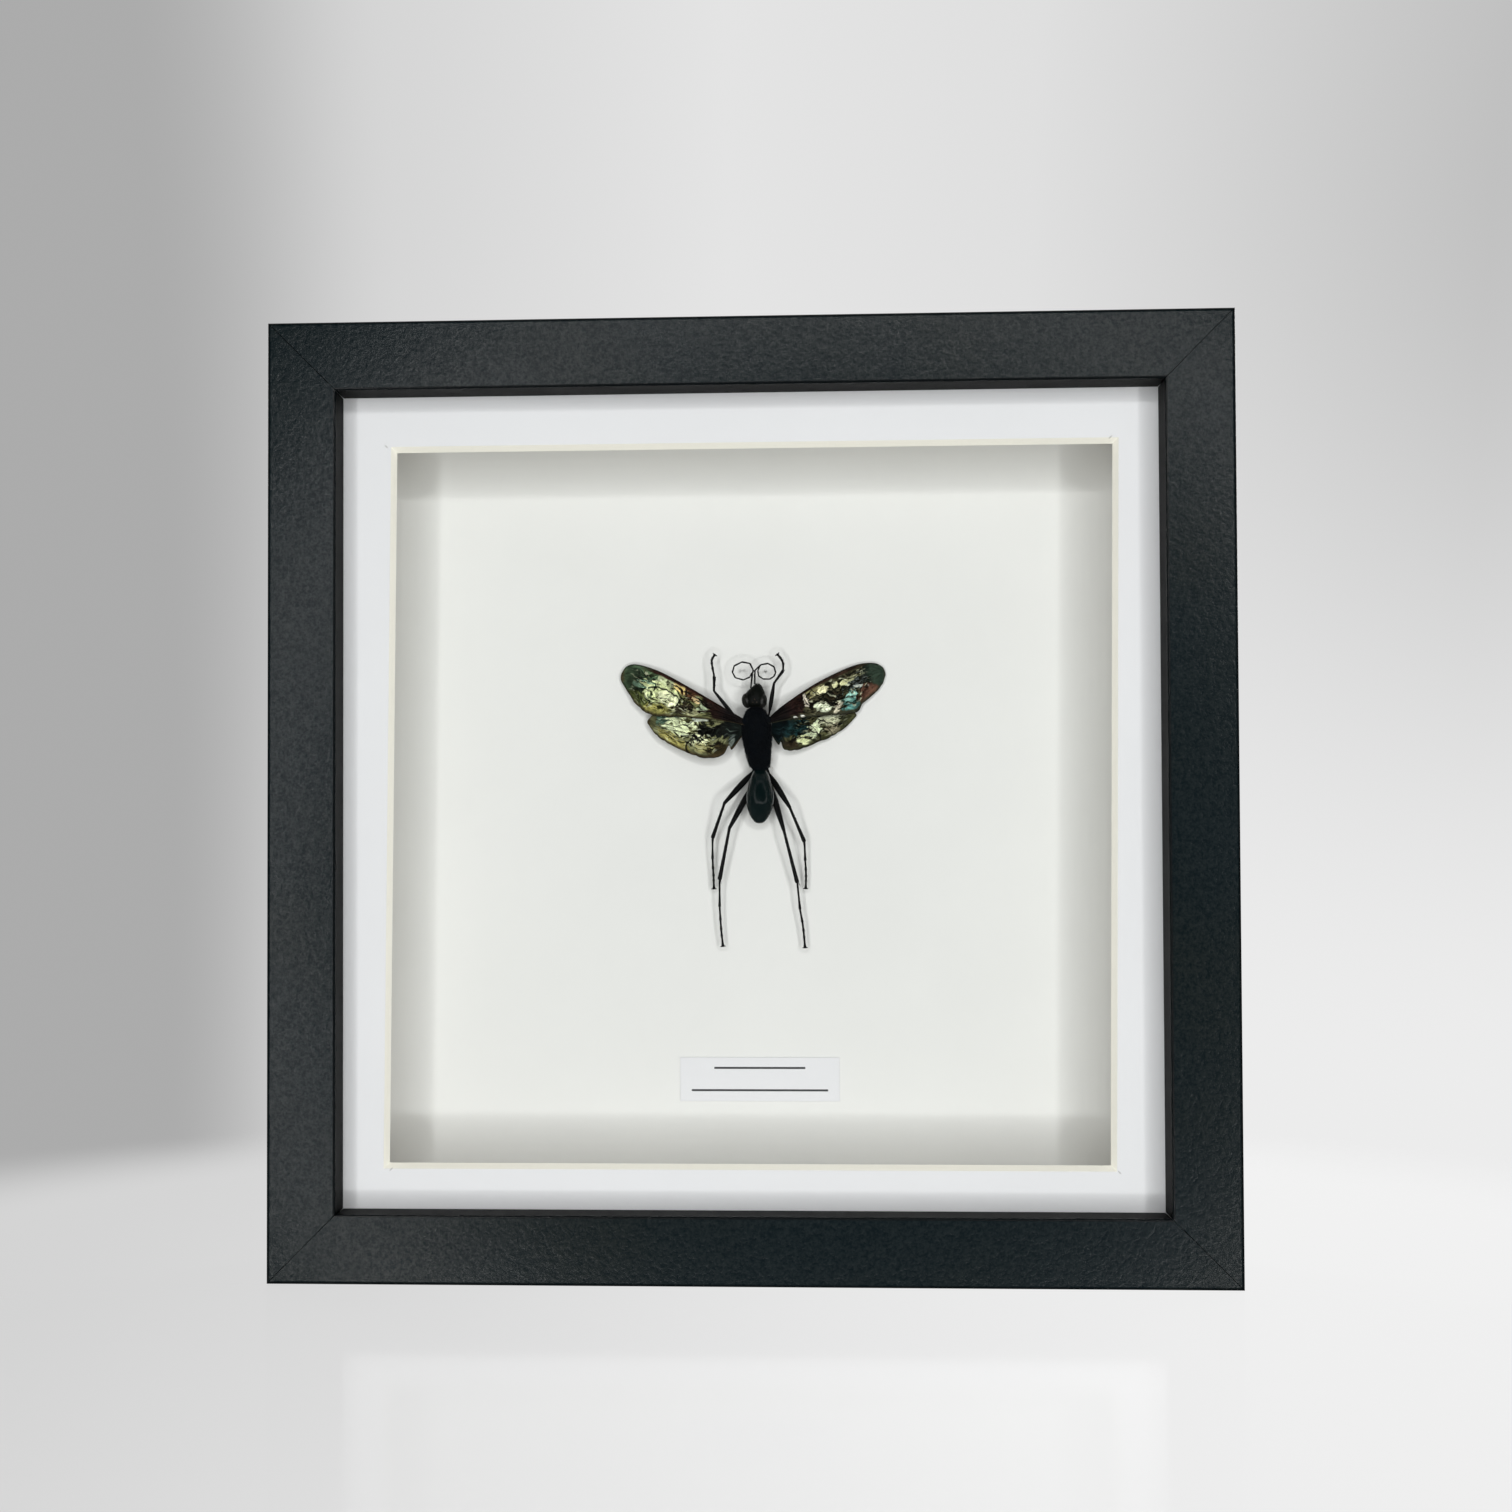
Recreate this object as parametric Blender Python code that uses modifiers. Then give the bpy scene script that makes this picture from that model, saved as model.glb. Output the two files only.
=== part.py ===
"""Framed tarantula hawk wasp: a spread wasp on a white card, behind a mat, in a black square box frame.

Metres, +Z up. The front faces -Y. The origin is the middle of the underside, halfway between front and back.
Sizes are given in millimetres times MM. Left and right are as the viewer sees them.
"""

import math

import bmesh
import bpy
from mathutils import Matrix, Vector

MM = 0.001
GAP = 0.3 * MM  # between the sheets that lie on each other
TOUCH_GAP = 0.1 * MM  # between small pieces and what they are fixed to
WELD = 0.001 * MM
CURVE_STEPS = 200  # how finely a smooth curve is measured

# Frame
FRAME_SIDE = 250 * MM
FRAME_DEPTH = 45 * MM
FACE_WIDTH = 18 * MM
LIP_DEPTH = 10.1 * MM  # from the face back to the glass
REBATE = 5 * MM  # how far the lip covers what lies behind it
OUTER_ARRIS = 0.9 * MM
INNER_ARRIS = 0.6 * MM
ARRIS_STEPS = 3
MITRE_GAP = 0.16 * MM

# What the frame holds, from the front to the back
INSERT_CLEARANCE = 0.5 * MM
GLASS_THICK = 2.0 * MM
MAT_THICK = 1.4 * MM
SPACER_DEPTH = 25.2 * MM
SPACER_WIDE = 7 * MM
CARD_THICK = 1.2 * MM
PANEL_THICK = 2.0 * MM

# The window in the mat, measured at its front edge. It was cut a little out of square and off centre.
WINDOW_WIDE = 190.2 * MM
WINDOW_TALL = 189.7 * MM
WINDOW_RIGHT = 0.2 * MM
WINDOW_DOWN = 1.25 * MM
WINDOW_SKEW = 2.0 * MM  # how far its top edge lies to the right of its bottom edge

# Label
LABEL_WIDE = 43.7 * MM
LABEL_TALL = 12 * MM
LABEL_THICK = 0.25 * MM
LABEL_RIGHT = 2.3 * MM
LABEL_UP = 49.1 * MM

# Tabs and hanger on the back
TAB_WIDE = 7 * MM
TAB_REACH = 11 * MM
TAB_THICK = 0.5 * MM
TAB_OFFSET = 62 * MM  # each side has two, this far from its middle
HANGER_WIDE = 42 * MM
HANGER_TALL = 7.6 * MM
HANGER_THICK = 0.8 * MM
HANGER_RISE = 1.5 * MM
HANGER_EAR = 7 * MM
HANGER_TEETH = 9
NOTCH_SHARE = 0.62  # the notch's side against the teeth's pitch
POCKET_DEPTH = 3.4 * MM
POCKET_MARGIN = 1.2 * MM
NAIL_RADIUS = 1.5 * MM
NAIL_THICK = 0.6 * MM
NAIL_SEGMENTS = 16

# Planes worked out from the above, along Y
FRONT = -FRAME_DEPTH / 2
BACK = FRAME_DEPTH / 2
GLASS_FRONT = FRONT + LIP_DEPTH + GAP
MAT_FRONT = GLASS_FRONT + GLASS_THICK + GAP
SPACER_FRONT = MAT_FRONT + MAT_THICK + GAP
CARD_FRONT = SPACER_FRONT + SPACER_DEPTH + GAP
PANEL_FRONT = CARD_FRONT + CARD_THICK + GAP
TAB_FRONT = PANEL_FRONT + PANEL_THICK + GAP
INSERT_SIDE = FRAME_SIDE - 2 * (FACE_WIDTH - REBATE + INSERT_CLEARANCE)
MIDDLE_UP = FRAME_SIDE / 2

# The wasp. Each station is (up, right, half width, height of its middle over the card, half thickness),
# in mm.
HEAD = (
    (157.5, 2.2, 0, 4.0, 0),
    (157.2, 2.2, 0.8, 4.0, 0.9),
    (156.5, 2.1, 1.4, 4.1, 1.5),
    (155.6, 1.8, 2.1, 4.3, 2.0),
    (154.4, 1.55, 2.8, 4.5, 2.3),
    (153.0, 1.35, 3.1, 4.6, 2.45),
    (151.8, 1.4, 3.0, 4.6, 2.3),
    (150.9, 1.5, 2.5, 4.5, 1.9),
    (150.7, 1.6, 0, 4.5, 0),
)
EYE_LEFT = (152.7, -0.75, 4.9)  # up, right, height over the card
EYE_RIGHT = (153.3, 3.4, 4.9)
EYE_RADII = (1.5, 1.9, 2.1)
THORAX = (
    (150.55, 1.7, 0, 4.5, 0),
    (150.4, 1.7, 2.1, 4.5, 1.9),
    (149.6, 1.75, 2.75, 4.6, 2.8),
    (147.6, 1.85, 3.6, 4.7, 3.8),
    (144.6, 1.95, 4.1, 4.75, 4.2),
    (141.2, 2.1, 3.8, 4.65, 4.0),
    (138.4, 2.25, 3.4, 4.4, 3.5),
    (136.2, 2.55, 2.75, 4.2, 2.7),
    (134.9, 2.7, 2.1, 4.2, 1.8),
    (134.6, 2.8, 0, 4.2, 0),
)
ABDOMEN = (
    (134.4, 2.8, 0, 4.2, 0),
    (134.3, 2.8, 0.75, 4.2, 0.7),
    (133.4, 2.8, 1.0, 4.4, 0.9),
    (132.2, 2.75, 2.2, 4.8, 1.8),
    (130.4, 2.7, 2.95, 5.1, 2.4),
    (127.8, 2.75, 3.55, 5.2, 2.8),
    (125.0, 2.75, 3.9, 5.1, 2.9),
    (122.6, 2.65, 3.6, 4.9, 2.7),
    (120.8, 2.55, 2.6, 4.7, 2.0),
    (119.5, 2.6, 1.3, 4.5, 1.0),
    (119.2, 2.6, 0, 4.5, 0),
)
BODY_SEGMENTS = 20
BODY_RINGS = 16
EYE_SEGMENTS = 14
EYE_RINGS = 10

# Wing edges, as (right, up) in mm from the root to the tip: the front edge, then the rear one.
WING_THICK = 0.3 * MM
WING_SPAN_STEPS = 18
WING_CHORD_STEPS = 6
WING_ARCH = 0.35  # mm
WING_RIPPLE = 0.22  # mm
WING_FOLDS = 2.5
FOREWING_HEIGHT = 7.1  # mm over the card, at the root
HINDWING_HEIGHT = 5.9
WING_FALL = {  # mm down to the tip, how early it falls, and mm that the rear edge is lifted halfway along
    "forewing_left": (5.8, 1.6, 0.9),
    "forewing_right": (6.2, 2.3, 0.3),
    "hindwing_left": (3.6, 1.3, 0.5),
    "hindwing_right": (5.1, 2.6, 0.4),
}
WINGS = {
    "forewing_left": {
        "front": (
            (-1.35, 147.4), (-7.5, 151.1), (-16.9, 156.8), (-24.7, 161.1),
            (-30.8, 163.1), (-33.8, 162.7), (-35.3, 160.8),
        ),
        "rear": (
            (-1.35, 145.9), (-8.0, 147.2), (-18.0, 148.2), (-26.7, 148.9),
            (-31.1, 151.9), (-33.4, 155.2), (-35.4, 158.6),
        ),
    },
    "forewing_right": {
        "front": (
            (5.15, 147.7), (9.5, 151.6), (18.9, 157.9), (28.3, 162.3),
            (33.6, 163.1), (36.3, 162.1), (37.1, 160.6),
        ),
        "rear": (
            (5.15, 146.2), (12.0, 147.5), (20.3, 148.5), (29.5, 149.3),
            (34.2, 153.5), (36.4, 156.9), (37.0, 159.2),
        ),
    },
    "hindwing_left": {
        "front": ((-2.15, 145.6), (-9.0, 148.6), (-18.0, 150.4), (-25.2, 149.9), (-27.8, 148.0)),
        "rear": (
            (-2.15, 142.8), (-4.8, 139.3), (-5.7, 140.4), (-7.4, 137.8), (-11.8, 136.9),
            (-17.2, 138.6), (-24.8, 142.7), (-28.1, 146.8),
        ),
    },
    "hindwing_right": {
        "front": ((6.05, 145.9), (13.0, 149.0), (21.0, 151.2), (27.4, 150.9), (29.0, 149.2)),
        "rear": (
            (6.05, 143.2), (7.8, 140.6), (8.5, 141.4), (9.6, 139.2), (13.6, 139.3),
            (20.4, 141.9), (25.7, 145.0), (29.1, 148.4),
        ),
    },
}

# Legs: (right, up, height over the card) of each joint, then of points along the foot, in mm.
LEGS = {
    "foreleg_left": {
        "coxa": (-0.9, 146.4, 1.2), "hip": (-3.1, 147.1, 2.6),
        "knee": (-9.7, 155.4, 5.3), "ankle": (-9.6, 159.3, 5.2),
        "foot": ((-10.1, 161.8, 5.1), (-10.3, 163.9, 4.8), (-9.6, 165.2, 4.4)),
    },
    "foreleg_right": {
        "coxa": (4.7, 147.4, 1.2), "hip": (5.4, 149.6, 2.6),
        "knee": (6.7, 157.4, 5.3), "ankle": (9.2, 160.8, 5.2),
        "foot": ((9.3, 162.5, 5.1), (8.8, 163.9, 4.8), (7.8, 165.2, 4.4)),
    },
    "midleg_left": {
        "coxa": (1.9, 136.0, 0.9), "hip": (0.9, 133.4, 2.0),
        "knee": (-6.9, 124.7, 6.8), "ankle": (-10.3, 115.2, 3.8),
        "foot": ((-10.3, 108.9, 3.2), (-10.1, 105.2, 2.8), (-10.0, 101.6, 2.5)),
    },
    "midleg_right": {
        "coxa": (3.8, 136.0, 0.9), "hip": (5.1, 132.9, 2.0),
        "knee": (10.8, 123.5, 6.8), "ankle": (14.8, 114.1, 3.8),
        "foot": ((15.0, 108.8, 3.2), (15.2, 105.2, 2.8), (15.1, 101.6, 2.5)),
    },
    "hindleg_left": {
        "coxa": (2.2, 133.6, 0.7), "hip": (1.1, 130.4, 1.0),
        "knee": (-5.6, 117.9, 5.9), "ankle": (-8.4, 103.8, 4.4),
        "foot": ((-8.5, 98.6, 3.9), (-8.1, 91.1, 3.5), (-7.6, 85.9, 3.0)),
    },
    "hindleg_right": {
        "coxa": (3.6, 133.6, 0.7), "hip": (5.3, 130.4, 1.0),
        "knee": (9.2, 117.2, 5.9), "ankle": (12.8, 102.9, 4.4),
        "foot": ((13.4, 96.4, 3.9), (14.3, 91.1, 3.5), (14.8, 85.5, 3.0)),
    },
}
THIGH_SCALE = {"foreleg": 0.65, "midleg": 1.0, "hindleg": 1.0}
SHIN_SCALE = {"foreleg": 0.95, "midleg": 1.1, "hindleg": 1.2}
COXA = ((0.0, 0.42), (0.7, 0.40))  # share of its length, radius in mm
FEMUR = ((0.0, 0.38), (0.12, 0.65), (0.35, 0.92), (0.6, 0.88), (0.85, 0.66), (0.98, 0.52))
TIBIA = ((0.03, 0.36), (0.3, 0.38), (0.7, 0.45), (0.96, 0.54))
FOOT_JOINTS = 5
FOOT_THIN = 0.29
FOOT_THICK = 0.4

# Antennae: a straight stem to a loop of stiff joints. Root and loop centre are (right, up), in mm.
ANTENNA_ROOT_HEIGHT = 4.7
ANTENNA_HEIGHT = 4.9
ANTENNA_ROOT_RADIUS = 0.3
ANTENNA_TIP_RADIUS = 0.24
LOOP_TURN = 312  # degrees
LOOP_JOINTS = 7
ANTENNAE = {
    "antenna_left": {"root": (0.2, 156.5), "loop": (-1.85, 160.85), "radius": 2.5, "way": 1},
    "antenna_right": {"root": (1.4, 158.0), "loop": (4.6, 160.7), "radius": 2.35, "way": -1},
}


def clear_scene():
    for obj in list(bpy.data.objects):
        bpy.data.objects.remove(obj, do_unlink=True)


def new_collection(name):
    collection = bpy.data.collections.new(name)
    bpy.context.scene.collection.children.link(collection)
    return collection


def material(name, colour, roughness, metallic=0.0, transmission=0.0):
    made = bpy.data.materials.new(name)
    made.use_nodes = True
    shader = made.node_tree.nodes["Principled BSDF"]
    shader.inputs["Base Color"].default_value = (*colour, 1)
    shader.inputs["Roughness"].default_value = roughness
    shader.inputs["Metallic"].default_value = metallic
    shader.inputs["Transmission Weight"].default_value = transmission
    return made


def add_piece(name, mesh, paint, collection):
    obj = bpy.data.objects.new(name, mesh)
    mesh.materials.clear()
    mesh.materials.append(paint)
    collection.objects.link(obj)
    return obj


def box_mesh(name, size, centre):
    """A box with its place in its mesh."""
    mesh = bpy.data.meshes.new(name)
    bm = bmesh.new()
    bmesh.ops.create_cube(bm, size=1)
    bmesh.ops.transform(bm, matrix=Matrix.Translation(centre) @ Matrix.Diagonal((*size, 1)), verts=bm.verts)
    bm.to_mesh(mesh)
    bm.free()
    return mesh


def combine(obj, helper, operation):
    """A Boolean of the piece with a helper shape, which doesn't show."""
    helper.hide_render = True
    helper.display_type = "WIRE"
    boolean = obj.modifiers.new("Shape", "BOOLEAN")
    boolean.operation = operation
    boolean.object = helper


def mesh_of(curve_object):
    """The evaluated mesh of a curve object, with its caps welded on. The curve object is removed."""
    graph = bpy.context.evaluated_depsgraph_get()
    mesh = bpy.data.meshes.new_from_object(curve_object.evaluated_get(graph))
    mesh.transform(curve_object.matrix_world)
    bm = bmesh.new()
    bm.from_mesh(mesh)
    bmesh.ops.remove_doubles(bm, verts=bm.verts, dist=WELD)
    bm.to_mesh(mesh)
    bm.free()
    bpy.data.objects.remove(curve_object, do_unlink=True)
    return mesh


def along(points, share):
    """The point at this share of the way through points, on a smooth curve through them all."""
    place = min(max(share, 0), 1) * (len(points) - 1)
    first = min(int(place), len(points) - 2)
    t = place - first
    a, b, c, d = (Vector(points[min(max(first + k, 0), len(points) - 1)]) for k in (-1, 0, 1, 2))
    straight = 2 * b + (c - a) * t
    bend = (2 * a - 5 * b + 4 * c - d) * t**2 + (3 * b - a - 3 * c + d) * t**3
    return (straight + bend) / 2


def by_length(points, steps):
    """Evenly spaced points on the smooth curve through points."""
    fine = [along(points, k / CURVE_STEPS) for k in range(CURVE_STEPS + 1)]
    run = [0.0]
    for a, b in zip(fine, fine[1:]):
        run.append(run[-1] + (b - a).length)
    chosen = []
    for step in range(steps + 1):
        wanted = run[-1] * step / steps
        k = min(max(sum(1 for r in run if r < wanted), 1), CURVE_STEPS)
        t = (wanted - run[k - 1]) / (run[k] - run[k - 1])
        chosen.append(fine[k - 1].lerp(fine[k], t))
    return chosen


def spot(right, up, height):
    """A place in front of the card, from millimetres."""
    return Vector((right * MM, CARD_FRONT - height * MM, up * MM))


def rail_profile():
    """The moulding's section as (depth from the face, distance in from the outer side)."""
    points = []
    for step in range(ARRIS_STEPS + 1):
        a = math.radians(90 * step / ARRIS_STEPS)
        points.append((OUTER_ARRIS * (1 - math.sin(a)), OUTER_ARRIS * (1 - math.cos(a))))
    for step in range(ARRIS_STEPS + 1):
        a = math.radians(90 * step / ARRIS_STEPS)
        points.append((INNER_ARRIS * (1 - math.cos(a)), FACE_WIDTH - INNER_ARRIS * (1 - math.sin(a))))
    points.append((LIP_DEPTH, FACE_WIDTH))
    points.append((LIP_DEPTH, FACE_WIDTH - REBATE))
    points.append((FRAME_DEPTH, FACE_WIDTH - REBATE))
    points.append((FRAME_DEPTH, 0))
    return points


def rail_mesh():
    """The bottom rail: the section drawn as a filled curve, run along X, and mitred at both ends."""
    curve = bpy.data.curves.new("rail", "CURVE")
    curve.dimensions = "2D"
    curve.fill_mode = "BOTH"
    curve.extrude = FRAME_SIDE / 2
    profile = rail_profile()
    spline = curve.splines.new("POLY")
    spline.points.add(len(profile) - 1)
    for point, (depth, inward) in zip(spline.points, profile):
        point.co = (FRONT + depth, inward, 0, 1)
    spline.use_cyclic_u = True
    guide = bpy.data.objects.new("rail", curve)
    bpy.context.scene.collection.objects.link(guide)
    guide.matrix_world = Matrix(((0, 0, 1, 0), (1, 0, 0, 0), (0, 1, 0, 0), (0, 0, 0, 1)))
    bpy.context.view_layer.update()
    mesh = mesh_of(guide)
    bm = bmesh.new()
    bm.from_mesh(mesh)
    for side in (-1, 1):
        corner = Vector((side * (FRAME_SIDE / 2 - MITRE_GAP / 2 * math.sqrt(2)), 0, 0))
        cut_faces = bmesh.ops.bisect_plane(
            bm,
            geom=bm.verts[:] + bm.edges[:] + bm.faces[:],
            plane_co=corner,
            plane_no=Vector((side, 0, 1)),
            clear_outer=True,
        )
        rim = [e for e in cut_faces["geom_cut"] if isinstance(e, bmesh.types.BMEdge)]
        bmesh.ops.contextual_create(bm, geom=rim)
    bmesh.ops.recalc_face_normals(bm, faces=bm.faces)
    bm.to_mesh(mesh)
    bm.free()
    return mesh


def make_rails(paint, parts, cutters):
    """Four rails, each the bottom one turned about the frame's middle."""
    base = rail_mesh()
    pivot = Vector((0, 0, MIDDLE_UP))
    for name, quarter in (("rail_bottom", 0), ("rail_left", 1), ("rail_top", 2), ("rail_right", 3)):
        mesh = base.copy()
        turn = Matrix.Rotation(math.radians(90 * quarter), 4, "Y")
        mesh.transform(Matrix.Translation(pivot) @ turn @ Matrix.Translation(-pivot))
        rail = add_piece(name, mesh, paint, parts)
        if name == "rail_top":
            size = (HANGER_WIDE + 2 * POCKET_MARGIN, 2 * POCKET_DEPTH, HANGER_TALL + 2 * POCKET_MARGIN)
            pocket = box_mesh("pocket", size, (0, BACK, hanger_up()))
            combine(rail, add_piece("pocket_cutter", pocket, paint, cutters), "DIFFERENCE")
    bpy.data.meshes.remove(base)


def hanger_up():
    """The hanger's middle: centred on the back of the top rail."""
    return FRAME_SIDE - (FACE_WIDTH - REBATE) / 2


def make_sheet(name, thick, front, paint, parts):
    centre = (0, front + thick / 2, MIDDLE_UP)
    return add_piece(name, box_mesh(name, (INSERT_SIDE, thick, INSERT_SIDE), centre), paint, parts)


def window_cutter():
    """A block whose sides slope at 45 degrees, so the window's bevel faces the front."""
    mesh = bpy.data.meshes.new("window")
    bm = bmesh.new()
    bmesh.ops.create_cube(bm, size=2)
    for vertex in bm.verts:
        out = -1 if vertex.co.y < 0 else 1  # -1 in front of the mat, 1 behind it
        spread = MAT_THICK / 2 * (1 - 2 * out)
        right, up = vertex.co.x, vertex.co.z
        vertex.co.x = right * (WINDOW_WIDE / 2 - MAT_THICK / 2 + spread) + WINDOW_RIGHT + up * WINDOW_SKEW / 2
        vertex.co.z = up * (WINDOW_TALL / 2 - MAT_THICK / 2 + spread) + MIDDLE_UP - WINDOW_DOWN
        vertex.co.y = MAT_FRONT + MAT_THICK / 2 + out * MAT_THICK
    bm.to_mesh(mesh)
    bm.free()
    return mesh


def make_spacers(paint, parts):
    half = INSERT_SIDE / 2
    centre = SPACER_FRONT + SPACER_DEPTH / 2
    inner = INSERT_SIDE - 2 * (SPACER_WIDE + GAP)
    for name, side in (("spacer_bottom", -1), ("spacer_top", 1)):
        place = (0, centre, MIDDLE_UP + side * (half - SPACER_WIDE / 2))
        add_piece(name, box_mesh(name, (INSERT_SIDE, SPACER_DEPTH, SPACER_WIDE), place), paint, parts)
    for name, side in (("spacer_left", -1), ("spacer_right", 1)):
        place = (side * (half - SPACER_WIDE / 2), centre, MIDDLE_UP)
        add_piece(name, box_mesh(name, (SPACER_WIDE, SPACER_DEPTH, inner), place), paint, parts)


def make_tabs(paint, parts):
    """Two bendable tabs on each side, lying over the back panel with their roots at the rail."""
    root = FRAME_SIDE / 2 - (FACE_WIDTH - REBATE) - TOUCH_GAP
    number = 0
    for quarter in range(4):
        turn = Matrix.Rotation(math.radians(90 * quarter), 4, "Y")
        for side in (-1, 1):
            number += 1
            size = (TAB_WIDE, TAB_THICK, TAB_REACH)
            mesh = box_mesh("tab", size, (side * TAB_OFFSET, TAB_FRONT + TAB_THICK / 2, TAB_REACH / 2 - root))
            bm = bmesh.new()
            bm.from_mesh(mesh)
            tip = [e for e in bm.edges if all(v.co.z > -root + TAB_REACH / 2 for v in e.verts)]
            tip = [e for e in tip if abs(e.verts[0].co.y - e.verts[1].co.y) > TAB_THICK / 2]
            bmesh.ops.bevel(bm, geom=tip, offset=TAB_WIDE * 0.4, segments=4, profile=0.5, affect="EDGES")
            bm.to_mesh(mesh)
            bm.free()
            mesh.transform(Matrix.Translation((0, 0, MIDDLE_UP)) @ turn)
            add_piece(f"tab_{number}", mesh, paint, parts)


def make_hanger(paint, parts, cutters):
    """A strip with a raised middle whose lower edge is toothed, and the two nails through its ears."""
    floor = BACK - POCKET_DEPTH + GAP
    half = HANGER_WIDE / 2
    slope = HANGER_RISE
    section = (
        (-half, 0),
        (-half + HANGER_EAR, 0),
        (-half + HANGER_EAR + slope, HANGER_RISE),
        (half - HANGER_EAR - slope, HANGER_RISE),
        (half - HANGER_EAR, 0),
        (half, 0),
    )
    mesh = bpy.data.meshes.new("hanger")
    bm = bmesh.new()
    bmesh.ops.create_grid(bm, x_segments=len(section) - 1, y_segments=1, size=1)
    columns = sorted({round(v.co.x, 5) for v in bm.verts})
    for vertex in bm.verts:
        right, rise = section[columns.index(round(vertex.co.x, 5))]
        upper = vertex.co.y > 0
        vertex.co = (right, floor + rise, hanger_up() + (HANGER_TALL / 2 if upper else -HANGER_TALL / 2))
    bmesh.ops.recalc_face_normals(bm, faces=bm.faces)
    if bm.faces[:][0].normal.y < 0:
        bmesh.ops.reverse_faces(bm, faces=bm.faces)
    bm.to_mesh(mesh)
    bm.free()
    hanger = add_piece("hanger", mesh, paint, parts)
    wall = hanger.modifiers.new("Sheet", "SOLIDIFY")
    wall.thickness = HANGER_THICK
    wall.offset = 1
    pitch = (HANGER_WIDE - 2 * HANGER_EAR - 2 * slope) / HANGER_TEETH
    lower_edge = hanger_up() - HANGER_TALL / 2
    for tooth in range(HANGER_TEETH):
        place = Vector(((tooth - (HANGER_TEETH - 1) / 2) * pitch, BACK - POCKET_DEPTH / 2, lower_edge))
        notch = box_mesh("notch", (pitch * NOTCH_SHARE, POCKET_DEPTH * 2, pitch * NOTCH_SHARE), (0, 0, 0))
        notch.transform(Matrix.Translation(place) @ Matrix.Rotation(math.radians(45), 4, "Y"))
        combine(hanger, add_piece(f"tooth_cutter_{tooth + 1}", notch, paint, cutters), "DIFFERENCE")
    for name, side in (("hanger_nail_left", -1), ("hanger_nail_right", 1)):
        nail = bpy.data.meshes.new(name)
        bm = bmesh.new()
        rim = NAIL_RADIUS * 0.7
        bmesh.ops.create_cone(
            bm, cap_ends=True, segments=NAIL_SEGMENTS, radius1=NAIL_RADIUS, radius2=rim, depth=NAIL_THICK
        )
        bm.to_mesh(nail)
        bm.free()
        over_plate = floor + HANGER_THICK + TOUCH_GAP + NAIL_THICK / 2
        place = (side * (half - HANGER_EAR / 2), over_plate, hanger_up())
        nail.transform(Matrix.Translation(place) @ Matrix.Rotation(math.radians(-90), 4, "X"))
        add_piece(name, nail, paint, parts)


def body_mesh(name, stations):
    """A ball whose rings take their places and widths from the stations, from head to tail."""
    mesh = bpy.data.meshes.new(name)
    bm = bmesh.new()
    bmesh.ops.create_uvsphere(bm, u_segments=BODY_SEGMENTS, v_segments=BODY_RINGS, radius=1)
    for vertex in bm.verts:
        share = math.acos(max(-1, min(1, vertex.co.z))) / math.pi
        up, right, half_wide, height, half_thick = along_station(stations, share)
        across = Vector((vertex.co.x, vertex.co.y))
        across.normalize()
        vertex.co = spot(right + across.x * half_wide, up, height - across.y * half_thick)
    bmesh.ops.recalc_face_normals(bm, faces=bm.faces)
    bm.to_mesh(mesh)
    bm.free()
    mesh.shade_smooth()
    return mesh


def along_station(stations, share):
    """The five values at this share of the way through the stations, straight from each to the next."""
    place = share * (len(stations) - 1)
    first = min(int(place), len(stations) - 2)
    t = place - first
    return [a + (b - a) * t for a, b in zip(stations[first], stations[first + 1])]


def eye_mesh(name, eye):
    mesh = bpy.data.meshes.new(name)
    bm = bmesh.new()
    bmesh.ops.create_uvsphere(bm, u_segments=EYE_SEGMENTS, v_segments=EYE_RINGS, radius=1)
    wide, thick, tall = (r * MM for r in EYE_RADII)
    up, right, height = eye
    matrix = Matrix.Translation(spot(right, up, height)) @ Matrix.Diagonal((wide, thick, tall, 1))
    bmesh.ops.transform(bm, matrix=matrix, verts=bm.verts)
    bm.to_mesh(mesh)
    bm.free()
    return mesh


def make_body(skin, velvet, shell, parts, cutters):
    head = add_piece("head", body_mesh("head", HEAD), skin, parts)
    for name, eye in (("eye_shape_left", EYE_LEFT), ("eye_shape_right", EYE_RIGHT)):
        combine(head, add_piece(name, eye_mesh(name, eye), skin, cutters), "UNION")
    add_piece("thorax", body_mesh("thorax", THORAX), velvet, parts)
    add_piece("abdomen", body_mesh("abdomen", ABDOMEN), shell, parts)


def wing_height(name, u, v):
    """The wing sinks towards its tip in a gentle arch, with folds that run out from its root."""
    base = FOREWING_HEIGHT if name.startswith("forewing") else HINDWING_HEIGHT
    fall, power, lift = WING_FALL[name]
    sunk = fall * (1 - (1 - u) ** power)
    arch = (WING_ARCH + lift * v) * math.sin(math.pi * u)
    folds = WING_RIPPLE * math.sin(2 * math.pi * WING_FOLDS * v) * min(1, 3 * u) * (1 - v * 0.4)
    return base - sunk + arch + folds


def make_wing(name, edges, paint, parts):
    """A grid laid between the wing's front and rear edges."""
    front = by_length(edges["front"], WING_SPAN_STEPS)
    rear = by_length(edges["rear"], WING_SPAN_STEPS)
    mesh = bpy.data.meshes.new(name)
    bm = bmesh.new()
    bmesh.ops.create_grid(bm, x_segments=WING_SPAN_STEPS, y_segments=WING_CHORD_STEPS, size=1)
    for vertex in bm.verts:
        u = (vertex.co.x + 1) / 2
        v = (vertex.co.y + 1) / 2
        step = round(u * WING_SPAN_STEPS)
        place = front[step].lerp(rear[step], v)
        vertex.co = spot(place.x, place.y, wing_height(name, u, v))
    bm.to_mesh(mesh)
    bm.free()
    mesh.shade_smooth()
    wing = add_piece(name, mesh, paint, parts)
    wall = wing.modifiers.new("Membrane", "SOLIDIFY")
    wall.thickness = WING_THICK
    wall.offset = 0


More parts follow.
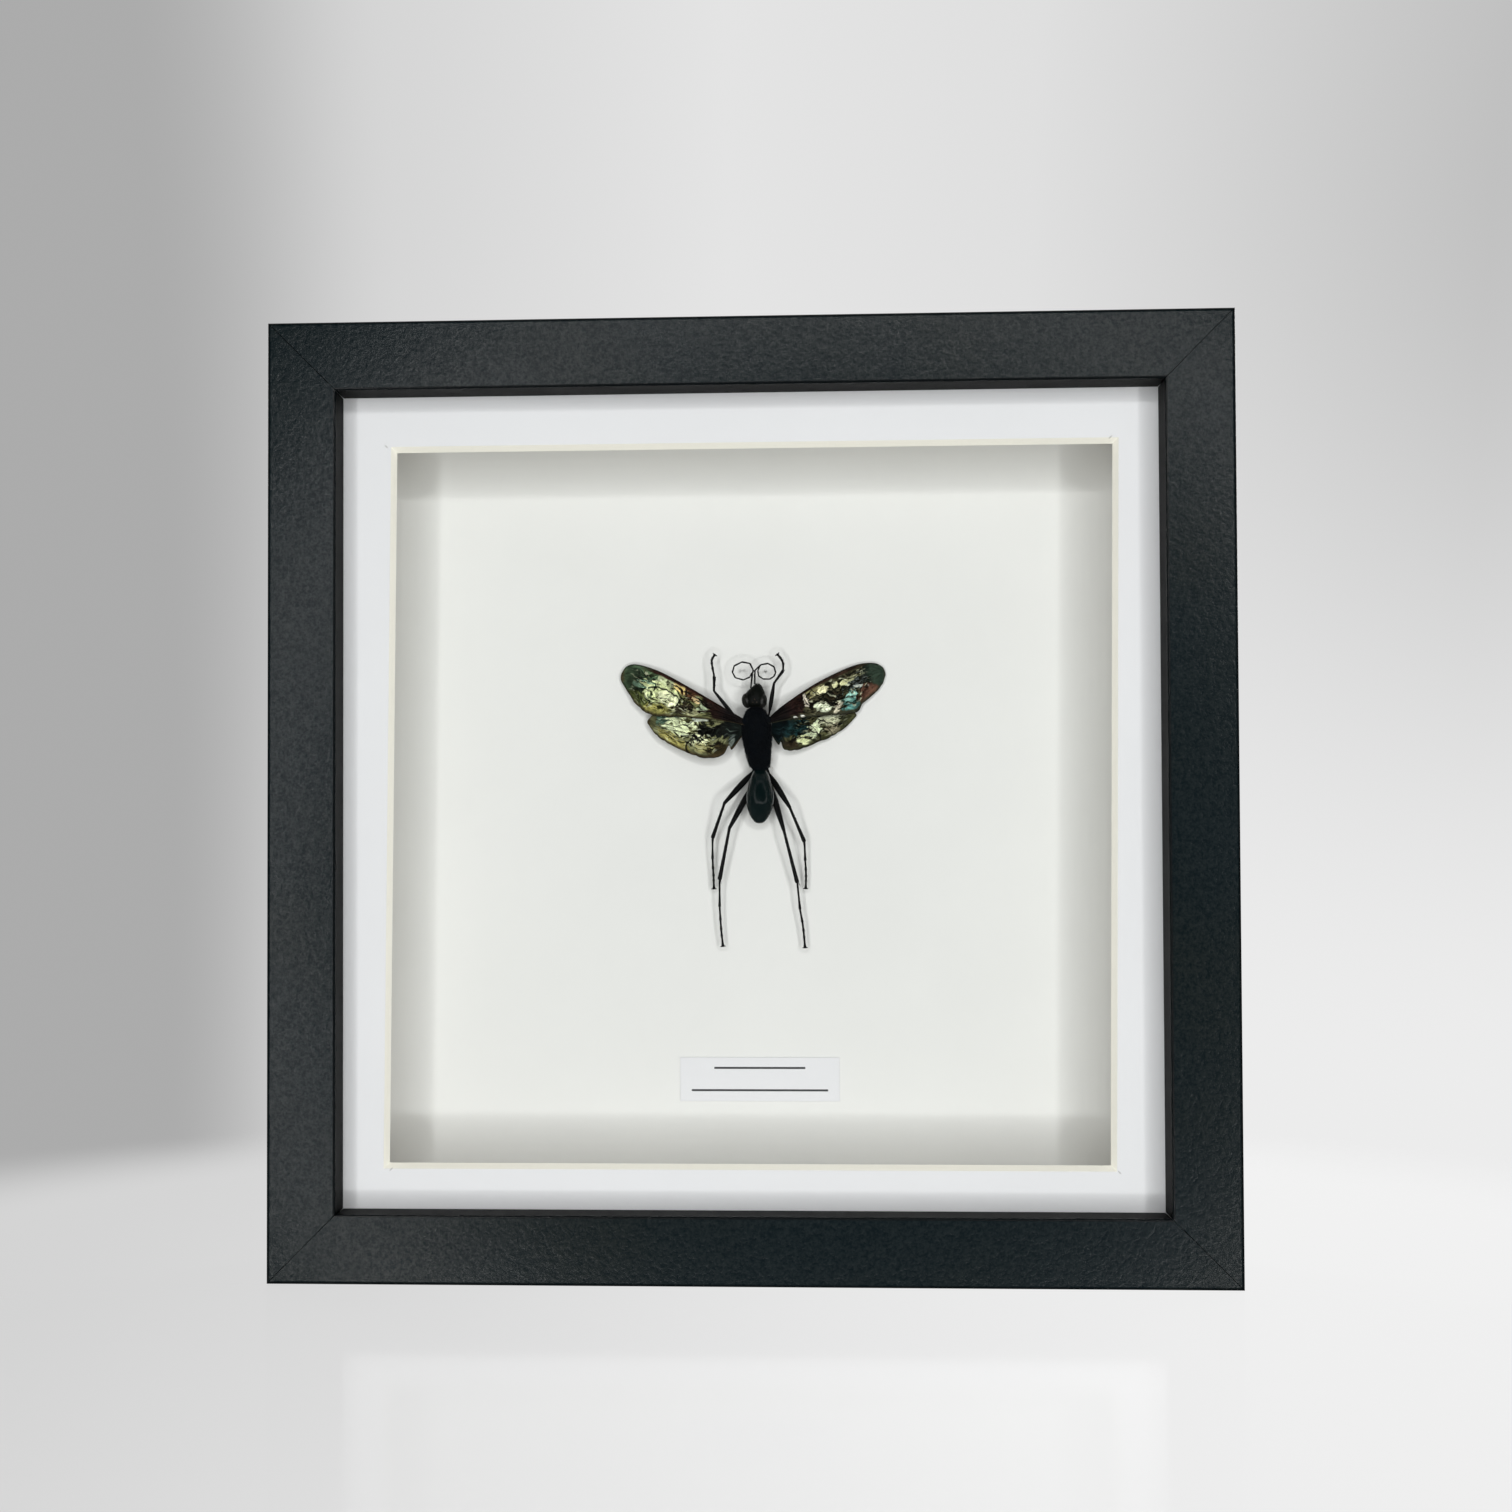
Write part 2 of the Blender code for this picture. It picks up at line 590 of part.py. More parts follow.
def wire(name, points, sides, paint, parts):
    """A tube along points of (place, radius in mm)."""
    curve = bpy.data.curves.new(name, "CURVE")
    curve.dimensions = "3D"
    curve.bevel_depth = MM
    curve.bevel_resolution = sides // 2 - 2
    curve.use_fill_caps = True
    curve.materials.append(paint)
    spline = curve.splines.new("POLY")
    spline.points.add(len(points) - 1)
    for point, (place, radius) in zip(spline.points, points):
        point.co = (*place, 1)
        point.radius = radius
    obj = bpy.data.objects.new(name, curve)
    parts.objects.link(obj)


def make_leg(name, leg, paint, parts):
    """Coxa, thigh, shin and a foot of short joints that each widen towards their end."""
    pair = name.split("_")[0]
    thigh, shin = THIGH_SCALE[pair], SHIN_SCALE[pair]
    limbs = (("coxa", "hip", COXA, thigh), ("hip", "knee", FEMUR, thigh), ("knee", "ankle", TIBIA, shin))
    points = []
    for start, end, section, scale in limbs:
        for share, radius in section:
            points.append((spot(*Vector(leg[start]).lerp(Vector(leg[end]), share)), radius * scale))
    track = by_length((leg["ankle"], *leg["foot"]), FOOT_JOINTS)
    for start, end in zip(track, track[1:]):
        points.append((spot(*start.lerp(end, 0.12)), FOOT_THIN))
        points.append((spot(*start.lerp(end, 0.88)), FOOT_THICK))
    points.append((spot(*track[-1]), FOOT_THIN))
    wire(name, points, 8, paint, parts)


def make_antenna(name, antenna, paint, parts):
    root = Vector(antenna["root"])
    centre = Vector(antenna["loop"])
    way = antenna["way"]
    places = [root]
    for joint in range(LOOP_JOINTS + 1):
        a = math.radians(LOOP_TURN * joint / LOOP_JOINTS)
        places.append(centre + antenna["radius"] * Vector((way * math.cos(a), math.sin(a))))
    last = len(places) - 1
    points = []
    for k, place in enumerate(places):
        radius = ANTENNA_ROOT_RADIUS + (ANTENNA_TIP_RADIUS - ANTENNA_ROOT_RADIUS) * k / last
        height = ANTENNA_ROOT_HEIGHT if k == 0 else ANTENNA_HEIGHT
        points.append((spot(place.x, place.y, height), radius))
    wire(name, points, 8, paint, parts)


def main():
    clear_scene()
    parts = new_collection("framed_tarantula_hawk_wasp")
    cutters = new_collection("cutters")
    foil = material("black_foil", (0.03, 0.031, 0.03), 0.42)
    pane = material("glass", (1, 1, 1), 0.0, transmission=1.0)
    board = material("mat_board", (0.84, 0.84, 0.83), 0.85)
    card = material("white_card", (0.88, 0.88, 0.86), 0.8)
    paper = material("label_paper", (0.9, 0.9, 0.88), 0.7)
    hardboard = material("hardboard", (0.24, 0.14, 0.07), 0.75)
    steel = material("tab_steel", (0.5, 0.5, 0.52), 0.35, metallic=1.0)
    brass = material("hanger_brass", (0.62, 0.47, 0.22), 0.35, metallic=1.0)
    skin = material("head_skin", (0.014, 0.015, 0.013), 0.4)
    velvet = material("thorax_velvet", (0.006, 0.008, 0.014), 0.75)
    shell = material("abdomen_shell", (0.006, 0.017, 0.02), 0.28)
    membrane = material("wing_membrane", (0.2, 0.2, 0.07), 0.3, metallic=0.5)
    limb = material("leg_shell", (0.008, 0.009, 0.01), 0.4)

    make_rails(foil, parts, cutters)
    make_sheet("glass", GLASS_THICK, GLASS_FRONT, pane, parts)
    mat = make_sheet("mat", MAT_THICK, MAT_FRONT, board, parts)
    combine(mat, add_piece("window_cutter", window_cutter(), board, cutters), "DIFFERENCE")
    make_spacers(card, parts)
    make_sheet("backing_card", CARD_THICK, CARD_FRONT, card, parts)
    make_sheet("back_panel", PANEL_THICK, PANEL_FRONT, hardboard, parts)
    label_place = (LABEL_RIGHT, CARD_FRONT - TOUCH_GAP - LABEL_THICK / 2, LABEL_UP)
    add_piece("label", box_mesh("label", (LABEL_WIDE, LABEL_THICK, LABEL_TALL), label_place), paper, parts)
    make_tabs(steel, parts)
    make_hanger(brass, parts, cutters)

    make_body(skin, velvet, shell, parts, cutters)
    for name, edges in WINGS.items():
        make_wing(name, edges, membrane, parts)
    for name, leg in LEGS.items():
        make_leg(name, leg, limb, parts)
    for name, antenna in ANTENNAE.items():
        make_antenna(name, antenna, limb, parts)


main()
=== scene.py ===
import math

import bpy
import numpy as np
from mathutils import Matrix, Vector


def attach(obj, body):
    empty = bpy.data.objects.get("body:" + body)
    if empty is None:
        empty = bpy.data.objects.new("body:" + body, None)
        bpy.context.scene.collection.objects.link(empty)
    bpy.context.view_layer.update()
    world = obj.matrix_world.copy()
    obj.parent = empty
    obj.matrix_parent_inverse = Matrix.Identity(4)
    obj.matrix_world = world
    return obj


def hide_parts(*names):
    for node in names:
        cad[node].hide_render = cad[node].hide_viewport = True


# Framed tarantula hawk wasp: the finish of the box frame, and the wasp itself in full detail.
# Metres, +Z up, the front faces -Y. Left and right are as the viewer sees them.

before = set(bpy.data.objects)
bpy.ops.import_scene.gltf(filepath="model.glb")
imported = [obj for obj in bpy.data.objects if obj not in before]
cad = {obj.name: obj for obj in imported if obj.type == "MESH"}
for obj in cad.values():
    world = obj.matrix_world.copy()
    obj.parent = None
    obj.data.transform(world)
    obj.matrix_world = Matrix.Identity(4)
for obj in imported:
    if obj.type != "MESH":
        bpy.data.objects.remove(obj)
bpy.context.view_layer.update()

mm = 0.001
cardFront = 0.0174  # front face of the white card, along Y
middleUp = 0.125  # the frame's middle, along Z


# Small tools


def pick(*objs):
    bpy.ops.object.select_all(action="DESELECT")
    for obj in objs:
        obj.select_set(True)
    if objs:
        bpy.context.view_layer.objects.active = objs[0]


def spot(right, up, height):
    # a place in front of the card, from millimetres
    return Vector((right * mm, cardFront - height * mm, up * mm))


def applied(obj):
    # its place, turn and size go into the mesh
    pick(obj)
    bpy.ops.object.transform_apply(location=True, rotation=True, scale=True)
    return obj


def settle(obj, name, paint):
    applied(obj)
    obj.name = name
    obj.data.name = name
    obj.data.materials.clear()
    obj.data.materials.append(paint)
    return obj


def joined(name, objs, paint):
    pick(*objs)
    bpy.ops.object.join()
    return settle(bpy.context.object, name, paint)


def modified(obj, kind, **settings):
    modifier = obj.modifiers.new(kind.title(), kind)
    for key, value in settings.items():
        setattr(modifier, key, value)
    pick(obj)
    bpy.ops.object.modifier_apply(modifier=modifier.name)
    return obj


def cloned(obj, matrix):
    # a copy with its own mesh, moved by the matrix
    copy = obj.copy()
    copy.data = obj.data.copy()
    copy.data.transform(matrix)
    bpy.context.scene.collection.objects.link(copy)
    return copy


def loft(rings, sides=24, frontFlat=2.0, backFlat=2.0):
    # rings of (centre, half width, half depth): a disc extruded from ring to ring and resized at each
    pick()
    centre, wide, deep = rings[0]
    bpy.ops.mesh.primitive_circle_add(vertices=sides, radius=1, fill_type="NGON", location=centre)
    obj = bpy.context.object
    for vertex in obj.data.vertices:
        flat = frontFlat if vertex.co.y < 0 else backFlat  # over 2 makes the oval squarer
        vertex.co.x = math.copysign(abs(vertex.co.x) ** (2 / flat), vertex.co.x) * wide
        vertex.co.y = math.copysign(abs(vertex.co.y) ** (2 / flat), vertex.co.y) * deep
    bpy.ops.object.mode_set(mode="EDIT")
    bpy.ops.mesh.select_all(action="SELECT")
    for (oldCentre, oldWide, oldDeep), (centre, wide, deep) in zip(rings, rings[1:]):
        bpy.ops.mesh.extrude_region_move(TRANSFORM_OT_translate={"value": centre - oldCentre})
        bpy.ops.transform.resize(value=(wide / oldWide, deep / oldDeep, 1), center_override=centre)
    bpy.ops.mesh.select_all(action="SELECT")
    bpy.ops.mesh.normals_make_consistent(inside=False)
    bpy.ops.mesh.faces_shade_smooth()
    bpy.ops.object.mode_set(mode="OBJECT")
    return applied(obj)


def limb(start, end, profile, sides=14, squash=1.0):
    # a round bar from start to end whose radius in mm follows (share of the length, radius)
    way = end - start
    rings = [(Vector((0, 0, share * way.length)), r * mm, r * squash * mm) for share, r in profile]
    obj = loft(rings, sides)
    obj.rotation_mode = "QUATERNION"
    obj.rotation_quaternion = way.to_track_quat("Z", "Y")
    obj.location = start
    return applied(obj)


def ball(centre, radii, segments=32, rings=20, turn=(0, 0, 0)):
    pick()
    size = [r * mm for r in radii]
    bpy.ops.mesh.primitive_uv_sphere_add(
        segments=segments, ring_count=rings, radius=1, location=centre, rotation=turn, scale=size
    )
    bpy.ops.object.shade_smooth()
    return applied(bpy.context.object)


def dress(obj, slot, *replaced):
    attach(obj, "root")
    if replaced:
        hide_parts(*replaced)


# Node tools

desk = {"tree": None}  # the node tree that is being built


def newPaint(name, **sockets):
    paint = bpy.data.materials.new(name)
    paint.use_nodes = True
    desk["tree"] = paint.node_tree
    shader = paint.node_tree.nodes["Principled BSDF"]
    for key, value in sockets.items():
        shader.inputs[key.replace("_", " ")].default_value = value
    return paint, shader


def put(kind, inputs=None, **settings):
    # a new node, whose inputs are plain values or other nodes' outputs
    tree = desk["tree"]
    node = tree.nodes.new("ShaderNode" + kind)
    for key, value in settings.items():
        setattr(node, key, value)
    for key, value in (inputs or {}).items():
        if isinstance(value, bpy.types.NodeSocket):
            tree.links.new(value, node.inputs[key])
        else:
            node.inputs[key].default_value = value
    return node


def feed(node, **sockets):
    for key, value in sockets.items():
        desk["tree"].links.new(value, node.inputs[key.replace("_", " ")])


def where():
    return put("TexCoord").outputs["Object"]


def facing():
    return put("NewGeometry").outputs["True Normal"]


def axes(vector):
    return put("SeparateXYZ", {0: vector}).outputs


def stretched(vector, scale, turn=(0, 0, 0)):
    return put("Mapping", {"Vector": vector, "Scale": scale, "Rotation": turn}).outputs[0]


def grain(vector, scale, detail=3.0, roughness=0.55, distortion=0.0):
    inputs = {"Scale": scale, "Detail": detail, "Roughness": roughness, "Distortion": distortion}
    return put("TexNoise", {"Vector": vector, **inputs}).outputs[0]


def calc(operation, first, second=0.0):
    return put("Math", {0: first, 1: second}, operation=operation).outputs[0]


def times(first, second):
    return calc("MULTIPLY", first, second)


def plus(first, second):
    return calc("ADD", first, second)


def minus(first, second):
    return calc("SUBTRACT", first, second)


def larger(first, second):
    return calc("MAXIMUM", first, second)


def absolute(value):
    return calc("ABSOLUTE", value)


def vectorCalc(operation, *inputs, **more):
    node = put("VectorMath", {**dict(enumerate(inputs)), **more}, operation=operation)
    return node.outputs["Value" if operation in ("LENGTH", "DISTANCE") else "Vector"]


def span(value, low, high, toLow=0.0, toHigh=1.0, kind="SMOOTHSTEP"):
    inputs = {"Value": value, "From Min": low, "From Max": high, "To Min": toLow, "To Max": toHigh}
    return put("MapRange", inputs, interpolation_type=kind).outputs["Result"]


def nearLine(value, at, half, soft):
    # 1 within half of the value at, and 0 beyond half + soft
    return span(absolute(minus(value, at)), half, half + soft, 1.0, 0.0)


def blend(factor, first, second, mode="MIX"):
    rgba = [(*c, 1) if isinstance(c, tuple) and len(c) == 3 else c for c in (first, second)]
    return put("Mix", {0: factor, 6: rgba[0], 7: rgba[1]}, data_type="RGBA", blend_type=mode).outputs[2]


def ramp(factor, *stops):
    node = put("ValToRGB", {"Fac": factor})
    elements = node.color_ramp.elements
    elements.remove(elements[1])
    elements[0].position = stops[0][0]
    elements[0].color = (*stops[0][1], 1)
    for at, colour in stops[1:]:
        elements.new(at).color = (*colour, 1)
    return node.outputs["Color"]


def bump(height, strength, distance, under=None):
    inputs = {"Height": height, "Strength": strength, "Distance": distance}
    if under:
        inputs["Normal"] = under
    return put("Bump", inputs).outputs[0]


def seeThrough(shader, share):
    # plain transparency in place of the shader, by the share
    clear = put("BsdfTransparent").outputs[0]
    mixed = put("MixShader", {0: share, 1: shader.outputs[0], 2: clear}).outputs[0]
    feed(desk["tree"].nodes["Material Output"], Surface=mixed)


def toned(colour, factor):
    return tuple(factor * c for c in colour)


def grey(level):
    return (level,) * 3


print("tools ready")


# Camera and light

view = {
    "place": (0.0092, -0.5725, 0.1097),
    "yaw": -2.99,  # degrees, positive to the right
    "pitch": 1.48,
    "roll": -0.19,
    "lens": 50.98,
    "shift": (0.0556, 0.0311),
}


def makeCamera():
    yaw, pitch, roll = (math.radians(view[key]) for key in ("yaw", "pitch", "roll"))
    forward = Vector((math.sin(yaw) * math.cos(pitch), math.cos(yaw) * math.cos(pitch), math.sin(pitch)))
    side = Vector((math.cos(yaw), -math.sin(yaw), 0))
    over = side.cross(forward)
    right = math.cos(roll) * side + math.sin(roll) * over
    up = -math.sin(roll) * side + math.cos(roll) * over
    pick()
    bpy.ops.object.camera_add()
    camera = bpy.context.object
    camera.name = "camera"
    turn = Matrix((right, up, -forward)).transposed().to_4x4()
    camera.matrix_world = Matrix.Translation(view["place"]) @ turn
    camera.data.sensor_fit = "HORIZONTAL"
    camera.data.sensor_width = 36
    camera.data.lens = view["lens"]
    camera.data.shift_x, camera.data.shift_y = view["shift"]
    camera.data.clip_start = 0.01
    bpy.context.scene.camera = camera


ring = {  # small lamps in a circle around the camera's view
    "middle": (0.053, -0.9, 0.090),
    "radius": 0.415,
    "lamps": 32,
    "size": 0.05,
    "power": 0.325,
}
softLamps = {  # place, target, size and power
    "top_light": ((0.0, 0.65, 1.2), (0, 0.1, 0.1), 1.0, 3.0),
    "back_light_left": ((-0.9, 1.0, 0.7), (0, 0, 0.12), 0.6, 8.0),
    "back_light_right": ((0.9, 1.1, 0.6), (0, 0, 0.12), 0.6, 8.0),
}
unlit = bpy.data.collections.new("not_lit_by_the_ring")


def leaveUnlit(obj):
    # the ring lights all but the pane and the floor, so that no lamp is mirrored in them
    unlit.objects.link(obj)
    unlit.collection_objects[-1].light_linking.link_state = "EXCLUDE"


def lamp(name, place, target, size, power, shape):
    bpy.ops.object.light_add(type="AREA", location=place)
    obj = bpy.context.object
    obj.name = name
    obj.rotation_euler = (Vector(target) - Vector(place)).to_track_quat("-Z", "Y").to_euler()
    obj.data.shape = shape
    obj.data.size = size
    obj.data.energy = power
    obj.visible_camera = False
    return obj


def makeLights():
    pick()
    leaveUnlit(cad["glass"])
    for k in range(ring["lamps"]):
        a = 2 * math.pi * (k + 0.5) / ring["lamps"]
        place = Vector(ring["middle"]) + Vector((math.cos(a), 0, math.sin(a))) * ring["radius"]
        obj = lamp(f"ring_lamp_{k + 1}", place, (0, 0, middleUp), ring["size"], ring["power"], "DISK")
        obj.light_linking.receiver_collection = unlit
    for name, settings in softLamps.items():
        lamp(name, *settings, "SQUARE")


room = {  # greys, and where each turns into the next by the direction of view
    "forDull": 0.02,  # how light the room is for dull surfaces
    "behind": 0.10,  # how light it looks in glossy ones, behind the object
    "before": 0.02,
    "toBefore": (0.5, 0.9),
    "wallLeft": 0.41,
    "wallRight": 0.84,
    "toRight": (-0.28, -0.17),
    "wallTop": ((0.0, 0.62), (0.4, 0.775), (0.65, 0.74), (1.0, 0.53)),  # from left to right
    "topAcross": (-0.24, 0.30),
    "toTop": (-0.10, 0.30),
    "groundLeft": 0.64,
    "groundRight": 0.86,
    "groundAcross": (-0.36, 0.10),
    "horizon": (-0.20, -0.125),
}


def makeRoom():
    # a pale backdrop for the eye, and a dim even room for surfaces
    world = bpy.data.worlds.new("studio")
    bpy.context.scene.world = world
    world.use_nodes = True
    world.cycles.sampling_method = "NONE"
    world.node_tree.nodes.clear()
    desk["tree"] = world.node_tree
    x, y, z = axes(put("TexCoord").outputs["Generated"])
    gloss = blend(span(times(y, -1.0), *room["toBefore"]), grey(room["behind"]), grey(room["before"]))
    dim = blend(put("LightPath").outputs["Is Diffuse Ray"], gloss, grey(room["forDull"]))
    stops = [(place, grey(level)) for place, level in room["wallTop"]]
    top = ramp(span(x, *room["topAcross"], kind="LINEAR"), *stops)
    high = blend(span(z, *room["toTop"]), grey(room["wallRight"]), top)
    wall = blend(span(x, *room["toRight"]), grey(room["wallLeft"]), high)
    ground = blend(span(x, *room["groundAcross"]), grey(room["groundLeft"]), grey(room["groundRight"]))
    backdrop = blend(span(z, *room["horizon"]), ground, wall)
    seen = blend(put("LightPath").outputs["Is Camera Ray"], dim, backdrop)
    background = put("Background", {"Color": seen, "Strength": 1.0})
    feed(put("OutputWorld"), Surface=background.outputs[0])


floorFinish = {
    "base": grey(0.05),
    "glow": (0.620, 0.845),  # how pale it is at the left and the right
    "glowAcross": (-0.22, 0.13),
    "fade": (0.24, 0.36),  # how far out it fades into the backdrop
}


def makeFloor():
    # a pale floor that neither lights nor darkens the object
    pick()
    bpy.ops.mesh.primitive_plane_add(size=4, location=(0, 0, 0))
    paint, shader = newPaint("paleFloor", Roughness=0.09, Specular_IOR_Level=0.015, Emission_Strength=1.0)
    at = where()
    tone = ramp(grain(at, 3.0, 2.0), (0.3, floorFinish["base"]), (0.7, toned(floorFinish["base"], 1.04)))
    glow = span(axes(at)["X"], *floorFinish["glowAcross"], *floorFinish["glow"])
    feed(shader, Base_Color=tone, Emission_Color=glow)
    seeThrough(shader, span(vectorCalc("LENGTH", at), *floorFinish["fade"]))
    paint.cycles.emission_sampling = "NONE"
    floor = settle(bpy.context.object, "floor", paint)
    floor.visible_diffuse = False
    floor.visible_glossy = False
    floor.visible_transmission = False
    floor.visible_shadow = False
    leaveUnlit(floor)


makeCamera()
makeLights()
makeRoom()
makeFloor()
bpy.context.scene.view_settings.view_transform = "Standard"
print("camera, lights and floor made")


# Frame materials

foil = {
    "dark": (0.0016, 0.0062, 0.0076),
    "light": (0.0142, 0.0184, 0.0182),
    "cooler": (0.86, 0.97, 1.08),  # tint of some wide clouds
    # colour of the painted shade lines along the face's arrises
    "line": (0.003, 0.0035, 0.004),
    "wall": (0.0015, 0.002, 0.002),
    "bare": (0.42, 0.38, 0.32),
    "blotch": 700,  # mottling, per metre
    "fleck": 1500,
    "roughness": (0.14, 0.235),
    "sideRoughness": 0.5,
    "wallRoughness": 0.56,
    "inner": 107.25,  # painted shade: a dark line along the lip's arris, in mm from the frame's middle
    "outer": 124.9,  # painted shade: a dark line along the outer arris
    "chip": (40.5, -21.5, 17.3),  # a small knock on the lower lip, in mm
}


def blackFoil():
    paint, shader = newPaint("blackFoil", Specular_IOR_Level=0.062)
    at = where()
    x, y, z = axes(at)
    blotch = grain(at, foil["blotch"], 4.0, 0.62)
    fleck = grain(at, foil["fleck"], 2.0, 0.6)
    mottle = plus(times(blotch, 0.5), times(fleck, 0.5))
    colour = ramp(mottle, (0.4, foil["dark"]), (0.6, foil["light"]))
    cooler = blend(1.0, colour, foil["cooler"], "MULTIPLY")
    colour = blend(span(grain(at, 16, 2.0), 0.35, 0.65), colour, cooler)
    # the distance out from the frame's middle tells the face's edges
    out = larger(absolute(x), absolute(minus(z, middleUp)))
    face = span(y, -0.0212, -0.0196, 1.0, 0.0)
    # painted shade: dark lines along the face's inner and outer arrises
    inner = nearLine(out, foil["inner"] * mm, 0.00028, 0.0003)
    outer = nearLine(out, foil["outer"] * mm, 0.00035, 0.0004)
    colour = blend(times(times(larger(inner, outer), face), 0.75), colour, foil["line"])
    away = vectorCalc("DISTANCE", at, toned(foil["chip"], mm))
    ragged = plus(away, times(grain(at, 1500), 0.0006))
    colour = blend(span(ragged, 0.0011, 0.0008), colour, foil["bare"])
    # the lip's inner wall is duller than the face, and so are the frame's sides and back
    faceX, faceY, faceZ = axes(facing())
    wall = times(span(absolute(faceY), 0.1, 0.3, 1.0, 0.0), span(out, 0.1072, 0.1078, 1.0, 0.0))
    colour = blend(wall, colour, foil["wall"])
    gloss = span(mottle, 0.34, 0.66, foil["roughness"][1], foil["roughness"][0], "LINEAR")
    gloss = larger(gloss, times(wall, foil["wallRoughness"]))
    gloss = larger(gloss, span(face, 0.0, 1.0, foil["sideRoughness"], 0.0))
    # the mitres' cut ends are raw and dark, so the narrow joint doesn't shine
    cut = span(absolute(times(faceX, faceZ)), 0.3, 0.45)
    colour = blend(cut, colour, grey(0.002))
    normal = bump(fleck, 0.35, 0.00005, bump(blotch, 0.3, 0.0002))
    feed(shader, Base_Color=colour, Roughness=larger(gloss, cut), Normal=normal)
    return paint


board = {
    "face": (0.805, 0.812, 0.822),
    "fleck": (0.6, 0.6, 0.62),
    "bevel": (0.95, 0.93, 0.83),
    # painted shade inside the knife's overcut slits
    "overcut": (0.25, 0.24, 0.21),
    "overcuts": ((-95.9, 219.4), (94.9, 219.4), (-94.6, 28.0), (95.6, 28.0)),  # right and up, mm
    "overcutHalf": (0.3, 0.08),  # half length and width, mm
}


def matBoard():
    paint, shader = newPaint("matBoard", Roughness=0.82, Specular_IOR_Level=0.25)
    at = where()
    tooth = grain(at, 2600, 3.0, 0.6)
    face = blend(span(grain(at, 22, 2.0), 0.3, 0.7), board["face"], toned(board["face"], 0.985))
    face = blend(times(tooth, 0.05), face, board["fleck"])
    # the cut bevel shows the board's cream core: its faces lean back from the front
    cream = blend(grain(at, 1400, 4.0, 0.7), board["bevel"], toned(board["bevel"], 0.9))
    colour = blend(span(axes(facing())["Y"], -0.95, -0.85), face, cream)
    # the knife ran a little past each corner, at 45 degrees here; each slit is a short line of painted shade
    long, wide = toned(board["overcutHalf"], mm)
    for right, up in board["overcuts"]:
        offset = axes(vectorCalc("SUBTRACT", at, (right * mm, 0, up * mm)))
        x = times(offset["X"], math.copysign(0.7071, right))
        z = times(offset["Z"], math.copysign(0.7071, up * mm - middleUp))
        tick = times(nearLine(minus(x, z), 0.0, wide, 0.00016), nearLine(plus(x, z), 0.0, long, 0.0004))
        colour = blend(times(tick, 0.5), colour, board["overcut"])
    feed(shader, Base_Color=colour, Normal=bump(tooth, 0.25, 0.00006))
    return paint


cards = {"backingCard": (0.82, 0.83, 0.805), "spacerCard": (0.65, 0.605, 0.57), "fleck": (0.66, 0.66, 0.64)}


def whiteCard(name):
    paint, shader = newPaint(name, Roughness=0.75, Specular_IOR_Level=0.2)
    at = where()
    tooth = grain(at, 1700, 4.0, 0.6)
    tone = blend(span(grain(at, 30, 3.0), 0.3, 0.7), cards[name], toned(cards[name], 0.982))
    tone = blend(times(tooth, 0.06), tone, cards["fleck"])
    feed(shader, Base_Color=tone, Normal=bump(tooth, 0.3, 0.00006))
    return paint


label = {
    "middle": (2.3, 49.1),  # right and up, mm
    "half": (21.82, 5.97),
    "paper": (0.79, 0.80, 0.815),
    "fibre": (0.7, 0.71, 0.72),
    "ink": (0.045, 0.047, 0.05),
    "rules": ((3.1, 12.4), (-3.0, 18.6)),  # up from the middle and half length, mm
    "ruleHalf": 0.24,
    "edge": 0.17,  # how wide the painted shade along its edges is, mm
}


def labelPaper():
    paint, shader = newPaint("labelPaper", Roughness=0.7, Specular_IOR_Level=0.25)
    at = where()
    place = axes(at)
    right, up = toned(label["middle"], mm)
    halfWide, halfHigh = toned(label["half"], mm)
    edge = label["edge"] * mm
    fibre = grain(stretched(at, (1, 1, 2.2)), 1900, 4.0, 0.6)
    colour = blend(times(fibre, 0.08), label["paper"], label["fibre"])
    for over, half in label["rules"]:
        rule = nearLine(place["Z"], up + over * mm, label["ruleHalf"] * mm, 0.00008)
        ends = nearLine(place["X"], right, half * mm, 0.00012)
        ink = times(times(rule, ends), span(fibre, 0.2, 0.45, 0.75, 1.0))
        colour = blend(ink, colour, label["ink"])
    # painted shade: a grey band along the label's edges
    side = span(absolute(minus(place["X"], right)), halfWide - edge, halfWide)
    rise = span(absolute(minus(place["Z"], up)), halfHigh - edge, halfHigh)
    colour = blend(times(larger(side, rise), 0.35), colour, grey(0.6))
    feed(shader, Base_Color=colour, Normal=bump(fibre, 0.3, 0.00004))
    return paint


def clearGlass():
    paint, shader = newPaint("clearGlass", Transmission_Weight=1.0, Roughness=0.0, IOR=1.45)
    tint = blend(span(grain(where(), 9, 1.0), 0.3, 0.7), (0.995, 1.0, 0.998), (0.99, 0.998, 0.995))
    feed(shader, Base_Color=tint)
    seeThrough(shader, put("LightPath").outputs["Is Shadow Ray"])
    return paint


panel = {
    "dark": (0.105, 0.052, 0.024),
    "brown": (0.20, 0.108, 0.052),
    "pale": (0.33, 0.2, 0.105),
    "stain": (0.11, 0.06, 0.032),
}


def hardboard():
    paint, shader = newPaint("hardboard", Specular_IOR_Level=0.35)
    at = where()
    felt = grain(stretched(at, (1, 1, 1.4)), 700, 6.0, 0.72, 0.6)
    fibre = grain(stretched(at, (3.0, 1, 0.8), (0, 0.5, 0)), 420, 5.0, 0.7, 1.2)
    mottle = plus(times(felt, 0.6), times(fibre, 0.4))
    colour = ramp(mottle, (0.34, panel["dark"]), (0.5, panel["brown"]), (0.68, panel["pale"]))
    colour = blend(times(span(grain(at, 14, 3.0), 0.3, 0.75), 0.35), colour, panel["stain"])
    feed(shader, Base_Color=colour, Roughness=span(felt, 0.3, 0.7, 0.5, 0.72, "LINEAR"))
    feed(shader, Normal=bump(mottle, 0.5, 0.00015))
    return paint


steel = {"dark": (0.36, 0.365, 0.37), "light": (0.60, 0.605, 0.61), "streak": (0.2, 0.19, 0.18)}


